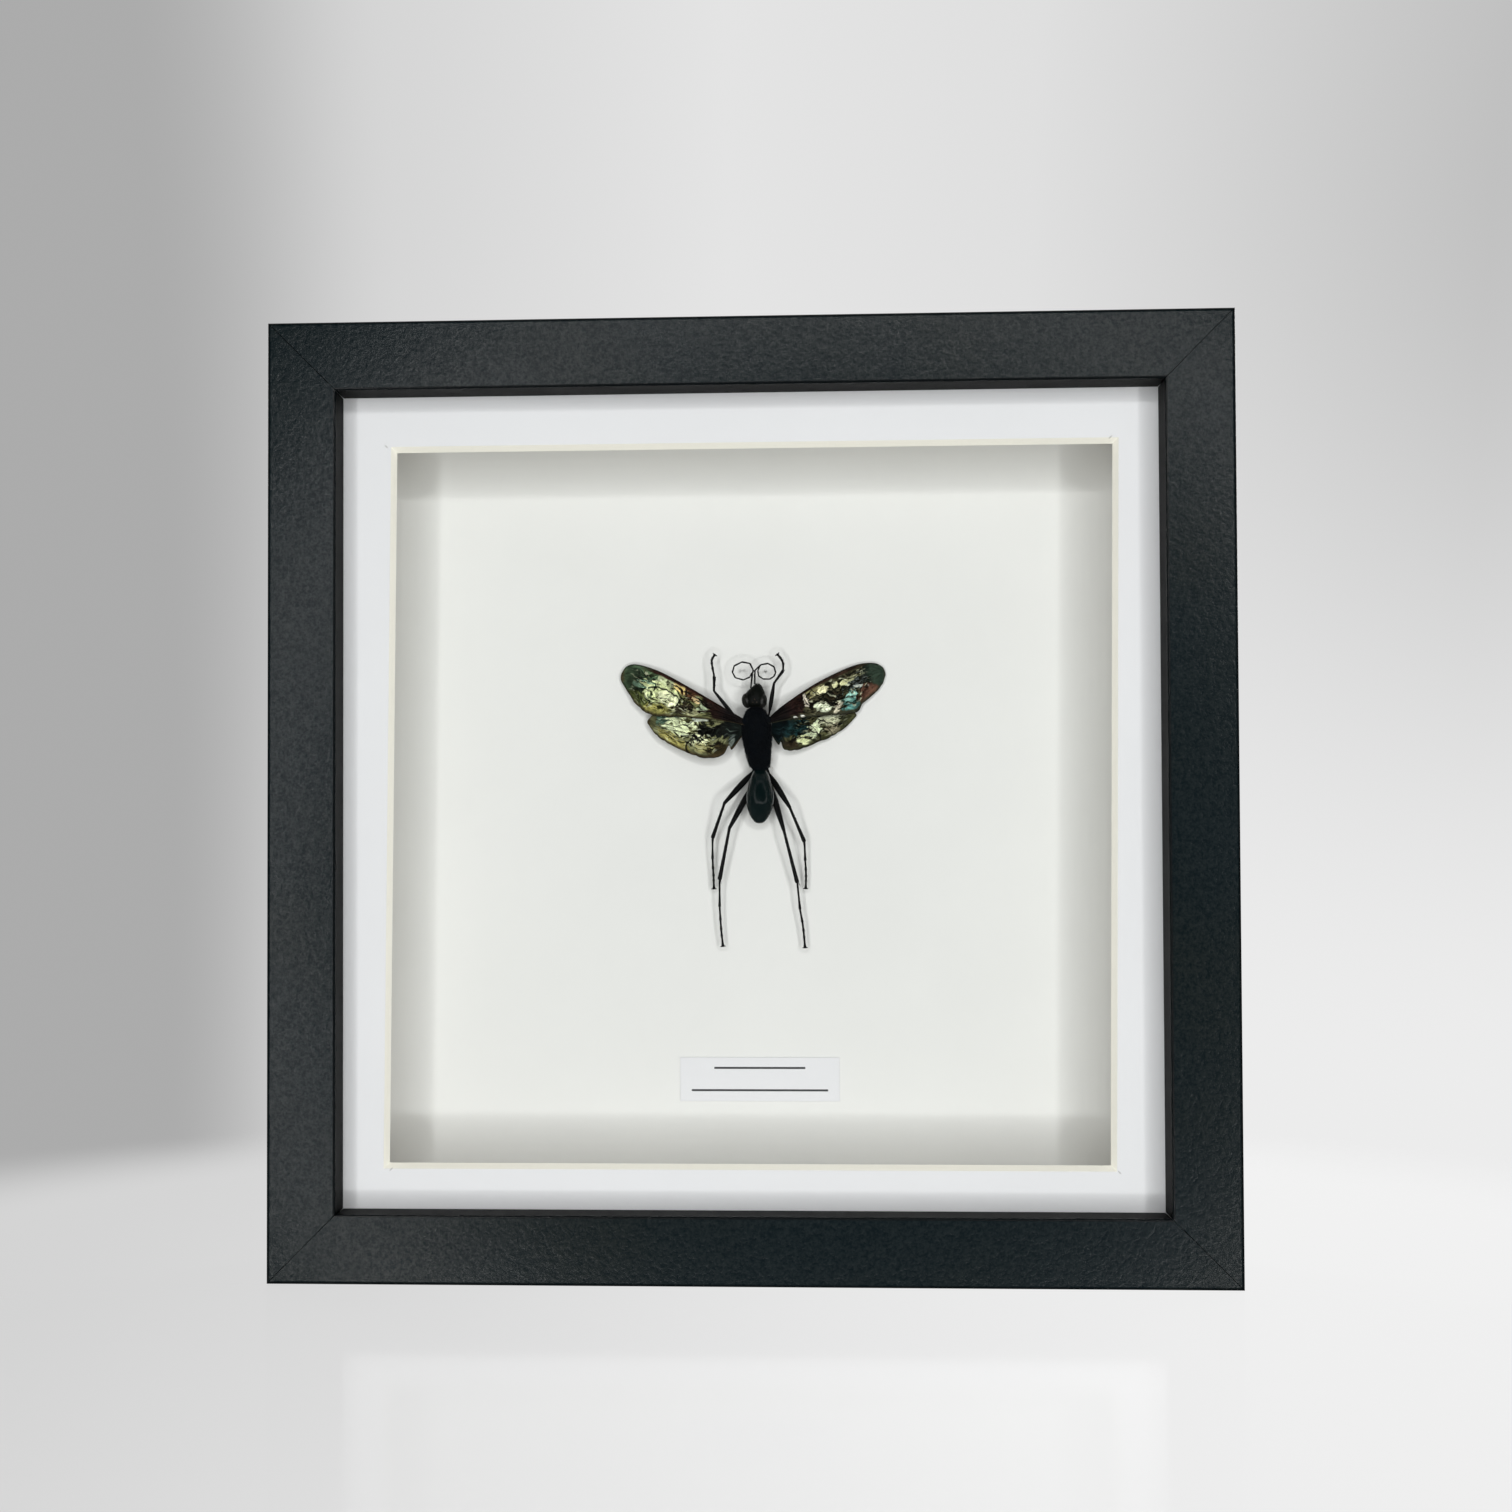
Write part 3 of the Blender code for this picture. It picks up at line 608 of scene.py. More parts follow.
def sheetSteel():
    paint, shader = newPaint("sheetSteel", Metallic=1.0)
    at = where()
    brushed = grain(stretched(at, (9, 1, 9)), 120, 5.0, 0.65)
    streak = grain(stretched(at, (26, 1, 2.5)), 140, 3.0, 0.6)
    colour = ramp(brushed, (0.3, steel["dark"]), (0.7, steel["light"]))
    colour = blend(span(streak, 0.62, 0.74, 0.0, 0.4), colour, steel["streak"])
    feed(shader, Base_Color=colour, Roughness=span(streak, 0.2, 0.8, 0.25, 0.5, "LINEAR"))
    feed(shader, Normal=bump(brushed, 0.25, 0.00004))
    return paint


brass = {"dark": (0.42, 0.28, 0.09), "light": (0.68, 0.5, 0.2), "scuff": (0.23, 0.16, 0.07)}


def hangerBrass():
    paint, shader = newPaint("hangerBrass", Metallic=1.0)
    at = where()
    scuff = grain(stretched(at, (2, 1, 14)), 260, 4.0, 0.7)
    colour = ramp(grain(at, 160, 4.0, 0.6), (0.3, brass["dark"]), (0.7, brass["light"]))
    colour = blend(span(scuff, 0.6, 0.75, 0.0, 0.5), colour, brass["scuff"])
    feed(shader, Base_Color=colour, Roughness=span(scuff, 0.2, 0.8, 0.22, 0.5, "LINEAR"))
    feed(shader, Normal=bump(scuff, 0.2, 0.00004))
    return paint


def coat(paint, *names):
    for name in names:
        slots = cad[name].data.materials
        if not slots:
            slots.append(paint)
        for index in range(len(slots)):
            slots[index] = paint


coat(blackFoil(), "rail_top", "rail_bottom", "rail_left", "rail_right")
coat(clearGlass(), "glass")
coat(matBoard(), "mat")
coat(whiteCard("backingCard"), "backing_card")
coat(whiteCard("spacerCard"), "spacer_top", "spacer_bottom", "spacer_left", "spacer_right")
coat(labelPaper(), "label")
coat(hardboard(), "back_panel")
coat(sheetSteel(), *[f"tab_{k + 1}" for k in range(8)])
coat(hangerBrass(), "hanger", "hanger_nail_left", "hanger_nail_right")


# Films of glue, in mm out from the frame's middle and along Y

glue = {
    "from": 112.3,
    "to": 124.93,
    "thick": 0.14,
    "front": -21.9,
    "back": 22.4,
    "dark": (0.0015, 0.0018, 0.0018),
    "light": (0.004, 0.0045, 0.0045),
}


def makeGlue():
    # a thin dark film closes each mitre, so that no light shows through the joint
    paint, shader = newPaint("darkGlue", Roughness=0.8, Specular_IOR_Level=0.1)
    feed(shader, Base_Color=ramp(grain(where(), 900), (0.3, glue["dark"]), (0.7, glue["light"])))
    out = (glue["from"] + glue["to"]) / 2 * mm
    long = (glue["to"] - glue["from"]) * math.sqrt(2) * mm
    pick()
    bpy.ops.mesh.primitive_cube_add(
        size=1,
        location=(out, (glue["front"] + glue["back"]) / 2 * mm, middleUp + out),
        rotation=(0, math.radians(-45), 0),
        scale=(long, (glue["back"] - glue["front"]) * mm, glue["thick"] * mm),
    )
    film = settle(bpy.context.object, "glueFilms", paint)
    middle = Matrix.Translation((0, 0, middleUp))
    quarters = [Matrix.Rotation(math.radians(90 * k), 4, "Y") for k in (1, 2, 3)]
    others = [cloned(film, middle @ turn @ middle.inverted()) for turn in quarters]
    dress(joined("glueFilms", [film, *others], paint), "black_foil")


makeGlue()
print("frame finished")


# Wing patterns, worked out on the wing's own grid


def lattice(x, y, seed, smooth=False):
    # values on a lattice of points, joined by flat triangles, or smoothly
    count = 128
    table = np.random.default_rng(seed).uniform(-1, 1, (count, count))
    i, j = np.floor(x).astype(int), np.floor(y).astype(int)
    fx, fy = x - i, y - j
    i, j, nextI, nextJ = i % count, j % count, (i + 1) % count, (j + 1) % count
    a, b = table[i, j], table[nextI, j]
    c, d = table[i, nextJ], table[nextI, nextJ]
    if smooth:
        fx, fy = fx * fx * (3 - 2 * fx), fy * fy * (3 - 2 * fy)
        return (a + (b - a) * fx) * (1 - fy) + (c + (d - c) * fx) * fy
    lower = a + fx * (b - a) + fy * (c - a)
    upper = d + (1 - fx) * (c - d) + (1 - fy) * (b - d)
    return np.where(fx + fy < 1, lower, upper)


def ease(value, low, high):
    t = np.clip((value - low) / (high - low), 0, 1)
    return t * t * (3 - 2 * t)


def smoothCurve(points, count):
    # evenly spaced points on a smooth curve through points
    track = np.array(points, float)
    padded = np.vstack([track[:1], track, track[-1:]])
    fine = []
    for k in range(len(track) - 1):
        a, b, c, d = padded[k : k + 4]
        for t in np.linspace(0, 1, 60, endpoint=False):
            straight = 2 * b + (c - a) * t
            bend = (2 * a - 5 * b + 4 * c - d) * t**2 + (3 * b - a - 3 * c + d) * t**3
            fine.append((straight + bend) / 2)
    fine = np.array([*fine, track[-1]])
    run = np.concatenate([[0], np.cumsum(np.linalg.norm(np.diff(fine, axis=0), axis=1))])
    wanted = np.linspace(0, run[-1], count)
    return np.stack([np.interp(wanted, run, fine[:, k]) for k in range(fine.shape[1])], axis=1)


def nearness(place, line, half):
    # 1 on the line through the points, fading to 0 at a little over half beside it
    track = smoothCurve(line, 24)
    gap = np.full(len(place), 99.0)
    for start, end in zip(track, track[1:]):
        way = end - start
        share = np.clip(((place - start) @ way) / (way @ way), 0, 1)
        gap = np.minimum(gap, np.linalg.norm(place - start - share[:, None] * way, axis=1))
    return 1 - ease(gap, half * 0.5, half * 1.5)


# Each wing: its edges as (right, up) in mm from root to tip; its height over the card at the root, how far it
# sinks to the tip, how early, and how far its rear is lifted; the coloured patches of its membrane as
# (right, up, wide, tall, turn in degrees, colour, strength); its smooth places as (right, up, radius);
# and its deep folds as (half width, points)
# Grounds and patches are the membrane's own tint and partly painted sheen: the left wings are painted paler
# than the right, the pale patches lighter where the crinkled membrane glints, and the small near-white
# patches are painted glints.
wings = {
    "forewing_left": {
        "front": (
            (-1.35, 147.4), (-7.5, 151.1), (-16.9, 156.8), (-24.7, 161.1), (-30.8, 163.1), (-33.8, 162.7),
            (-35.3, 160.8),
        ),
        "rear": (
            (-1.35, 145.9), (-8.0, 147.2), (-18.0, 148.2), (-26.7, 148.9), (-31.1, 151.9), (-33.4, 155.2),
            (-35.4, 158.6),
        ),
        "height": 7.1,
        "fall": (5.8, 1.6, 0.9),
        "seed": 11,
        "ground": (0.17, 0.18, 0.075),
        "strip": (0.026, 0.008, 0.006),
        "root": (0.004, 0.003, 0.003),
        "ray": (0.030, 0.016, 0.012),
        "glintStroke": (0.62, 0.66, 0.44),
        "rim": (0.036, 0.028, 0.013),
        "patches": (
            (-29.5, 157.5, 17, 13, -25, (0.050, 0.085, 0.046), 1.0),
            (-33.2, 158.5, 7, 10, 0, (0.026, 0.043, 0.023), 1.0),
            (-28.2, 157.4, 8, 2.4, -8, (0.24, 0.40, 0.27), 0.9),
            (-24.0, 154.6, 10, 7.2, -30, (0.66, 0.74, 0.38), 0.98),
            (-21.6, 152.6, 7, 4.2, -30, (0.84, 0.90, 0.56), 0.98),
            (-26.5, 150.9, 10, 3.0, -8, (0.30, 0.285, 0.08), 0.95),
            (-30.7, 153.6, 6, 3.4, -48, (0.085, 0.105, 0.030), 0.95),
            (-24.4, 159.8, 11, 2.6, -28, (0.13, 0.20, 0.10), 0.95),
            (-22.6, 158.6, 5.5, 2.2, -28, (0.50, 0.56, 0.32), 0.9),
            (-18.4, 155.9, 5.2, 2.6, -35, (0.86, 0.68, 0.26), 0.95),
            (-15.6, 154.1, 7, 3.2, -32, (0.11, 0.045, 0.022), 0.95),
            (-14.6, 152.6, 3.8, 1.5, -60, (0.70, 0.54, 0.28), 0.9),
            (-17.8, 150.8, 6.0, 3.2, 0, (0.035, 0.026, 0.015), 0.95),
            (-12.3, 151.0, 3.8, 2.8, 0, (0.46, 0.56, 0.36), 0.95),
            (-15.6, 149.3, 4, 1.8, 0, (0.46, 0.47, 0.26), 0.85),
            (-8.6, 150.0, 9.5, 5.0, -30, (0.020, 0.007, 0.006), 0.98),
        ),
        "folds": (
            (0.24, ((-27.6, 156.9), (-24.0, 156.3), (-21.3, 154.9), (-19.3, 153.2), (-20.4, 151.2))),
            (0.16, ((-32.4, 156.2), (-29.8, 156.4), (-27.0, 155.4))),
            (0.10, ((-29.1, 152.9), (-26.9, 153.8), (-23.5, 153.6), (-21.0, 152.4))),
            (0.10, ((-28.2, 151.9), (-25.4, 152.6), (-22.4, 151.6))),
            (0.20, ((-19.0, 153.4), (-16.4, 152.2), (-15.4, 150.8), (-16.6, 149.4))),
            (0.16, ((-22.5, 158.3), (-17.6, 155.4), (-14.4, 153.6), (-12.4, 151.6))),
            (0.12, ((-31.0, 158.6), (-28.6, 158.2), (-26.6, 158.8))),
        ),
    },
    "forewing_right": {
        "front": (
            (5.15, 147.7), (9.5, 151.6), (18.9, 157.9), (28.3, 162.3), (33.6, 163.1), (36.3, 162.1),
            (37.1, 160.6),
        ),
        "rear": (
            (5.15, 146.2), (12.0, 147.5), (20.3, 148.5), (28.6, 149.2), (31.0, 151.8), (33.6, 154.0),
            (36.2, 156.9), (37.0, 159.2),
        ),
        "height": 7.1,
        "fall": (6.2, 2.3, 0.3),
        "smooth": ((33.4, 153.7, 2.6), (35.4, 160.6, 3.4)),
        "seed": 23,
        "ground": (0.060, 0.056, 0.030),
        "strip": (0.026, 0.014, 0.009),
        "root": (0.004, 0.003, 0.003),
        "ray": (0.030, 0.018, 0.012),
        "glintStroke": (0.56, 0.58, 0.40),
        "rim": (0.020, 0.022, 0.013),
        "patches": (
            (11.8, 151.4, 13, 5.5, 35, (0.022, 0.009, 0.007), 0.98),
            (17.8, 155.6, 6.0, 2.6, 38, (0.34, 0.32, 0.15), 0.9),
            (20.2, 155.6, 4.6, 1.8, 35, (0.85, 0.83, 0.50), 0.9),
            (15.3, 152.8, 1.4, 3.4, 15, (0.80, 0.74, 0.60), 0.9),
            (20.4, 150.9, 4.2, 2.6, 10, (0.84, 0.92, 0.66), 0.98),
            (23.2, 153.4, 4.6, 3.2, 30, (0.026, 0.020, 0.010), 0.95),
            (24.2, 150.6, 1.4, 4.0, -35, (0.60, 0.56, 0.42), 0.85),
            (28.0, 154.4, 4.8, 3.0, 50, (0.27, 0.50, 0.43), 0.92),
            (27.8, 151.6, 5.4, 3.0, 25, (0.09, 0.24, 0.215), 0.95),
            (30.4, 158.2, 8, 4.4, 25, (0.075, 0.090, 0.085), 0.95),
            (26.0, 158.1, 8.5, 1.3, 25, (0.52, 0.53, 0.30), 0.9),
            (28.6, 159.5, 6.5, 0.8, 18, (0.34, 0.34, 0.20), 0.8),
            (31.0, 156.8, 5.5, 0.9, 0, (0.50, 0.54, 0.48), 0.8),
            (35.0, 160.6, 7, 8, 0, (0.018, 0.030, 0.020), 1.0),
            (32.6, 154.6, 6.5, 5, 45, (0.090, 0.043, 0.027), 0.98),
            (24.5, 160.4, 9, 2.2, 22, (0.060, 0.056, 0.026), 0.95),
            (12.6, 147.9, 1.5, 0.8, -25, (0.95, 0.95, 0.86), 1.0),
            (14.7, 148.25, 1.6, 0.8, -28, (0.95, 0.95, 0.86), 1.0),
        ),
        "folds": (
            (0.22, ((15.0, 152.9), (16.8, 151.2), (18.6, 152.6), (20.9, 153.4), (22.3, 151.3))),
            (0.20, ((22.7, 151.6), (24.6, 154.6), (26.8, 156.4), (29.6, 158.3), (33.1, 159.3))),
            (0.14, ((24.4, 150.4), (26.4, 151.2), (28.8, 152.8))),
            (0.14, ((24.9, 153.0), (26.8, 153.7), (29.2, 154.2))),
            (0.12, ((25.4, 154.6), (27.2, 155.4), (29.0, 155.5))),
            (0.16, ((28.6, 158.6), (30.8, 157.6), (32.9, 157.9))),
            (0.14, ((16.6, 156.0), (19.0, 154.6), (21.6, 155.0), (24.6, 156.8))),
        ),
    },
    "hindwing_left": {
        "front": ((-2.15, 146.1), (-9.0, 148.8), (-18.0, 150.4), (-25.2, 149.9), (-27.8, 148.0)),
        "rear": (
            (-2.15, 142.8), (-4.8, 139.3), (-5.7, 140.4), (-7.4, 137.8), (-11.8, 136.9),
            (-17.2, 138.6), (-24.8, 142.7), (-28.1, 146.8),
        ),
        "height": 5.9,
        "fall": (3.6, 1.3, 0.5),
        "seed": 37,
        "ground": (0.22, 0.23, 0.11),
        "strip": (0.060, 0.085, 0.055),
        "root": (0.003, 0.005, 0.004),
        "ray": (0.13, 0.17, 0.14),
        "glintStroke": (0.62, 0.68, 0.50),
        "rim": (0.032, 0.022, 0.010),
        "patches": (
            (-23.6, 148.0, 8, 4.2, 0, (0.060, 0.12, 0.085), 0.95),
            (-27.2, 147.4, 3.4, 5, 0, (0.075, 0.075, 0.032), 0.95),
            (-19.6, 145.5, 10, 4.8, -10, (0.76, 0.85, 0.52), 0.96),
            (-20.6, 141.9, 12, 2.8, -37, (0.36, 0.33, 0.10), 0.95),
            (-13.8, 142.3, 6, 4.8, 20, (0.88, 0.93, 0.58), 0.95),
            (-12.0, 139.9, 7, 2.6, 0, (0.36, 0.35, 0.15), 0.95),
            (-8.4, 139.2, 6, 4.4, 0, (0.030, 0.022, 0.008), 0.98),
            (-8.6, 144.6, 13, 4.4, 8, (0.006, 0.008, 0.006), 1.0),
            (-14.2, 147.6, 5, 0.9, 0, (0.56, 0.62, 0.52), 0.85),
        ),
        "rootPatches": (
            (-5.1, 140.9, 1.1, 3.4, -32, (0.13, 0.155, 0.135), 0.85),
            (-4.9, 142.6, 0.5, 2.6, -50, (0.09, 0.11, 0.10), 0.7),
        ),
        "folds": (
            (0.30, (
                (-12.9, 147.0), (-12.0, 145.2), (-13.4, 142.9),
                (-16.6, 141.9), (-17.4, 140.2), (-16.8, 138.9),
            )),
            (0.20, ((-15.1, 143.9), (-15.9, 142.4), (-16.2, 140.6))),
            (0.20, ((-10.9, 142.9), (-12.6, 142.2), (-14.4, 140.8))),
            (0.14, ((-23.5, 145.2), (-20.4, 144.6), (-17.6, 144.2), (-15.1, 143.5))),
            (0.12, ((-23.2, 146.6), (-20.8, 146.0), (-18.4, 146.3), (-16.4, 145.5))),
            (0.10, ((-22.0, 143.6), (-19.4, 143.0), (-17.2, 143.2))),
            (0.12, ((-12.2, 141.2), (-11.4, 139.6), (-10.4, 138.4))),
        ),
    },
    "hindwing_right": {
        "front": ((6.05, 146.5), (13.0, 149.2), (21.0, 151.2), (27.4, 150.9), (29.0, 149.2)),
        "rear": (
            (6.05, 143.2), (7.8, 140.6), (8.5, 141.4), (9.6, 139.2), (13.6, 139.3),
            (20.4, 141.9), (25.7, 145.0), (29.1, 148.4),
        ),
        "height": 5.9,
        "fall": (5.1, 2.6, 0.4),
        "seed": 53,
        "ground": (0.070, 0.070, 0.032),
        "strip": (0.030, 0.034, 0.022),
        "root": (0.002, 0.006, 0.007),
        "ray": (0.020, 0.050, 0.052),
        "glintStroke": (0.44, 0.48, 0.32),
        "rim": (0.020, 0.020, 0.009),
        "patches": (
            (11.6, 145.0, 11, 5.4, 0, (0.006, 0.028, 0.030), 0.97),
            (17.7, 144.9, 3.0, 5.2, -25, (0.80, 0.90, 0.60), 0.96),
            (22.4, 147.2, 6.0, 2.6, 10, (0.66, 0.68, 0.46), 0.92),
            (14.9, 141.8, 5.4, 2.2, 0, (0.76, 0.82, 0.46), 0.95),
            (20.4, 142.7, 10, 2.4, 28, (0.055, 0.058, 0.022), 0.95),
            (10.6, 140.4, 6.5, 3.6, 0, (0.026, 0.019, 0.009), 1.0),
            (23.0, 145.2, 4.8, 2.8, 35, (0.34, 0.31, 0.20), 0.9),
            (26.4, 146.8, 5, 4, 30, (0.040, 0.042, 0.017), 0.95),
            (22.0, 148.4, 8, 0.8, 8, (0.55, 0.58, 0.42), 0.8),
        ),
        "folds": (
            (0.24, ((16.2, 146.8), (16.6, 144.6), (19.0, 143.6), (19.6, 141.8))),
            (0.18, ((18.4, 147.8), (21.0, 147.0), (23.0, 146.2), (25.4, 146.6))),
            (0.14, ((12.6, 142.6), (14.8, 142.8), (16.6, 142.2), (18.4, 140.8))),
            (0.12, ((20.4, 145.8), (22.0, 144.6), (22.8, 143.0))),
            (0.10, ((16.8, 145.9), (18.0, 144.8), (18.6, 143.8))),
        ),
    },
}

membrane = {
    "spanSteps": 250,
    "chordSteps": 108,
    "thick": 0.10,  # mm
    "arch": 0.35,
    "notch": 0.24,  # mm, between the lobes of the rear edge
    "lobe": 4.1,
    "tipRound": 0.2,
    "facets": ((3.6, 2.0, 0.26), (1.7, 0.95, 0.13), (0.8, 0.5, 0.035)),  # length, width and rise, mm
    "least": 0.25,  # mm, from the card
    "foldDeep": 0.16,
    "rib": 0.07,  # mm, folds that fan out from the root
    "frill": 0.035,
    "wave": 0.12,
    "frontEdge": 0.14,
    "metal": 0.5,
    "glintStrokes": (2.2, 0.6),
    "slivers": ((2.6, 1.0), (1.5, 0.5)),  # length and width of the streaks in the finish, mm
    "cells": (1.4, 0.7),  # length and width of its small facets, mm
    "lean": 0.34,  # how far those facets lean
    "cover": 0.17,  # how much closer the pale slivers of painted glint lie in a bright patch
    "gap": (0.10, 0.10, 0.07),  # painted shade between them: how dark it is
    "hem": (0.010, 0.008, 0.005),
    # colour of the painted shade in the creases
    "creaseShade": (0.005, 0.006, 0.004),
}


def lobedEdge(wing, along):
    # the wing's two edges, the rear one hanging in shallow lobes, and the wing's length and mean width in mm
    front = smoothCurve(wing["front"], along + 1)
    rear = smoothCurve(wing["rear"], along + 1)
    length = np.linalg.norm(np.diff((front + rear) / 2, axis=0), axis=1).sum()
    chord = np.linalg.norm(front - rear, axis=1)
    seed = wing["seed"]
    s = np.linspace(0, length, along + 1)
    phase = s / membrane["lobe"] + 0.8 * lattice(s / 5.0, s * 0, seed + 1, True)
    uneven = 0.6 + 0.8 * np.abs(lattice(s / 3.3, s * 0 + 7, seed + 2))
    nicks = 0.35 * np.abs(lattice(s / 0.9, s * 0 + 3, seed + 2)) ** 2
    lobes = (1 - np.abs(np.sin(math.pi * phase))) ** 1.5 * uneven + nicks
    depth = membrane["notch"] * lobes * ease(s / length, 0.14, 0.3) * (1 - ease(s / length, 0.93, 1.0))
    rear = rear + (front - rear) / np.maximum(chord, 0.5)[:, None] * depth[:, None]
    return front, rear, length, chord.mean()


def crumpled(wing, place, u, v, x, y):
    # how far each point stands up, in mm, how crumpled it is, and how deep in a fold it lies, which later
    # takes painted shade
    seed = wing["seed"]
    warpX = lattice(x / 3.1, y / 2.7, seed + 3, True)
    warpY = 0.8 * lattice(x / 2.9, y / 2.3, seed + 4, True)
    height = sum(
        rise * lattice((x + warpX) / long, (y + warpY) / short, seed + 10 + k)
        for k, (long, short, rise) in enumerate(membrane["facets"])
    )
    calm = ease(u, 0.12, 0.34) * (1 - 0.9 * ease(u, 0.76, 0.93))
    calm = calm * ease(v, 0.03, 0.16) * (1 - 0.75 * ease(v, 0.78, 0.95))
    for right, up, radius in wing.get("smooth", ()):
        away = np.linalg.norm(place - (right, up), axis=1)
        calm = calm * (0.15 + 0.85 * ease(away, radius * 0.7, radius * 1.2))
    height = height * calm
    # uneven folds fan out from the root, short ones run to the rear edge
    fan = np.sin(2 * math.pi * (v * 5.3 + 0.9 * lattice(x / 7, y / 3.1, seed + 5, True)))
    ribs = membrane["rib"] * fan * (1 - ease(u, 0.2, 0.45)) * ease(u, 0.0, 0.06)
    height += ribs * (0.6 + 0.4 * lattice(x / 4, y / 1.6, seed + 7, True))
    frill = np.sin(2 * math.pi * (x / 1.9 + 0.9 * lattice(x / 2.4, y / 3, seed + 6, True)))
    height += membrane["frill"] * frill * ease(v, 0.86, 0.98) * ease(u, 0.2, 0.35) * (1 - ease(u, 0.85, 0.95))
    wave = membrane["wave"] * np.sin(2 * math.pi * 2.5 * v) * np.minimum(1, 3 * u)
    height += wave * (1 - v * 0.4) * (1 - ease(u, 0.8, 1.0))
    # deep folds, which the crease mask also darkens with painted shade
    sway = np.stack([lattice(x / 0.8, y / 0.8, seed + 8), lattice(x / 0.8, y / 0.8, seed + 9)], axis=1)
    deep = np.zeros(len(u))
    for half, line in wing["folds"]:
        deep = np.maximum(deep, nearness(place + 0.28 * sway, line, half))
    height -= membrane["foldDeep"] * deep
    # the stiff front edge
    height += membrane["frontEdge"] * (1 - ease(v, 0.0, 0.035)) * (1 - ease(u, 0.85, 1.0))
    return height, calm, deep


def wingSheet(wing):
    # a grid laid between the wing's two edges and crumpled like foil
    across, along = membrane["chordSteps"], membrane["spanSteps"]
    pick()
    bpy.ops.mesh.primitive_grid_add(x_subdivisions=along, y_subdivisions=across, size=2)
    bpy.ops.object.shade_smooth()
    obj = bpy.context.object
    mesh = obj.data
    co = np.empty(len(mesh.vertices) * 3)
    mesh.vertices.foreach_get("co", co)
    co = co.reshape(-1, 3)
    u, v = (co[:, 0] + 1) / 2, (co[:, 1] + 1) / 2
    step = np.rint(u * along).astype(int)
    front, rear, length, wide = lobedEdge(wing, along)
    place = front[step] + (rear[step] - front[step]) * v[:, None]
    outward = (front + rear)[-1] - (front + rear)[-12]
    outward /= np.linalg.norm(outward)
    place = place + outward * (membrane["tipRound"] * 4 * v * (1 - v) * ease(u, 0.92, 1.0) ** 2)[:, None]
    # places in mm along the wing and across it
    x, y = u * length, v * wide
    height, calm, deep = crumpled(wing, place, u, v, x, y)
    fall, power, lift = wing["fall"]
    sunk = wing["height"] - fall * (1 - (1 - u) ** power)
    total = sunk + (membrane["arch"] + lift * v) * np.sin(math.pi * u) + height
    co[:, 0] = place[:, 0] * mm
    co[:, 1] = cardFront - np.maximum(total, membrane["least"]) * mm
    co[:, 2] = place[:, 1] * mm
    mesh.vertices.foreach_set("co", co.ravel())
    # painted crease shade: a mask that is high where the sheet bends sharply away from the viewer, and in the
    # deep folds
    sheet = height.reshape(across + 1, along + 1)
    dx, dy = length / along, wide / across
    bend = np.zeros_like(sheet)
    bend[:, 1:-1] += (sheet[:, 2:] - 2 * sheet[:, 1:-1] + sheet[:, :-2]) / dx**2
    bend[1:-1, :] += (sheet[2:, :] - 2 * sheet[1:-1, :] + sheet[:-2, :]) / dy**2
    keep(mesh, "creaseShade", np.maximum(np.clip(bend / 5.0, 0, 1).ravel() * 0.8, deep))
    keep(mesh, "crumple", calm)
    keep(mesh, "along", x)
    keep(mesh, "across", y)
    mesh.update()
    if mesh.polygons[0].normal.y > 0:
        mesh.flip_normals()
    return modified(obj, "SOLIDIFY", thickness=membrane["thick"] * mm, offset=0.0)


def keep(mesh, name, values):
    # values for the finish, one at each point
    mesh.attributes.new(name, "FLOAT", "POINT").data.foreach_set("value", values.astype(np.float32))


def recall(name):
    return put("Attribute", attribute_name=name).outputs["Fac"]


def scaled(at, size, shift):
    # places on the sheet, counted in cells of a length and width in mm
    inputs = {"Vector": at, "Scale": (1 / size[0], 1 / size[1], 1), "Location": shift}
    return put("Mapping", inputs).outputs[0]


def flatNoise(at, detail):
    inputs = {"Vector": at, "Scale": 1.0, "Detail": detail}
    return put("TexNoise", inputs, noise_dimensions="2D").outputs["Fac"]


def slivers(at, size, shift):
    # wavy slivers that lie along the wing
    return flatNoise(scaled(at, size, (shift, shift, 0)), 2.0)


def smallFacets(at, size, shift):
    # flat cells, with a random triple for each
    inputs = {"Vector": scaled(at, size, (shift, 0, 0)), "Scale": 1.0}
    return put("TexVoronoi", inputs, voronoi_dimensions="2D", feature="F1").outputs["Color"]


def patched(at, colour, border, patch):
    # one coloured oval, its border pushed in and out
    right, up, wide, tall, turn, patchColour, strength = patch
    inputs = {
        "Vector": at,
        "Location": (right * mm, cardFront - 3.5 * mm, up * mm),
        "Rotation": (0, math.radians(-turn), 0),
        "Scale": (wide / 2 * mm, 1, tall / 2 * mm),
    }
    local = put("Mapping", inputs, vector_type="TEXTURE").outputs[0]
    inside = span(plus(vectorCalc("LENGTH", local), border), 1.15, 0.85, 0.0, strength)
    return blend(inside, colour, patchColour)


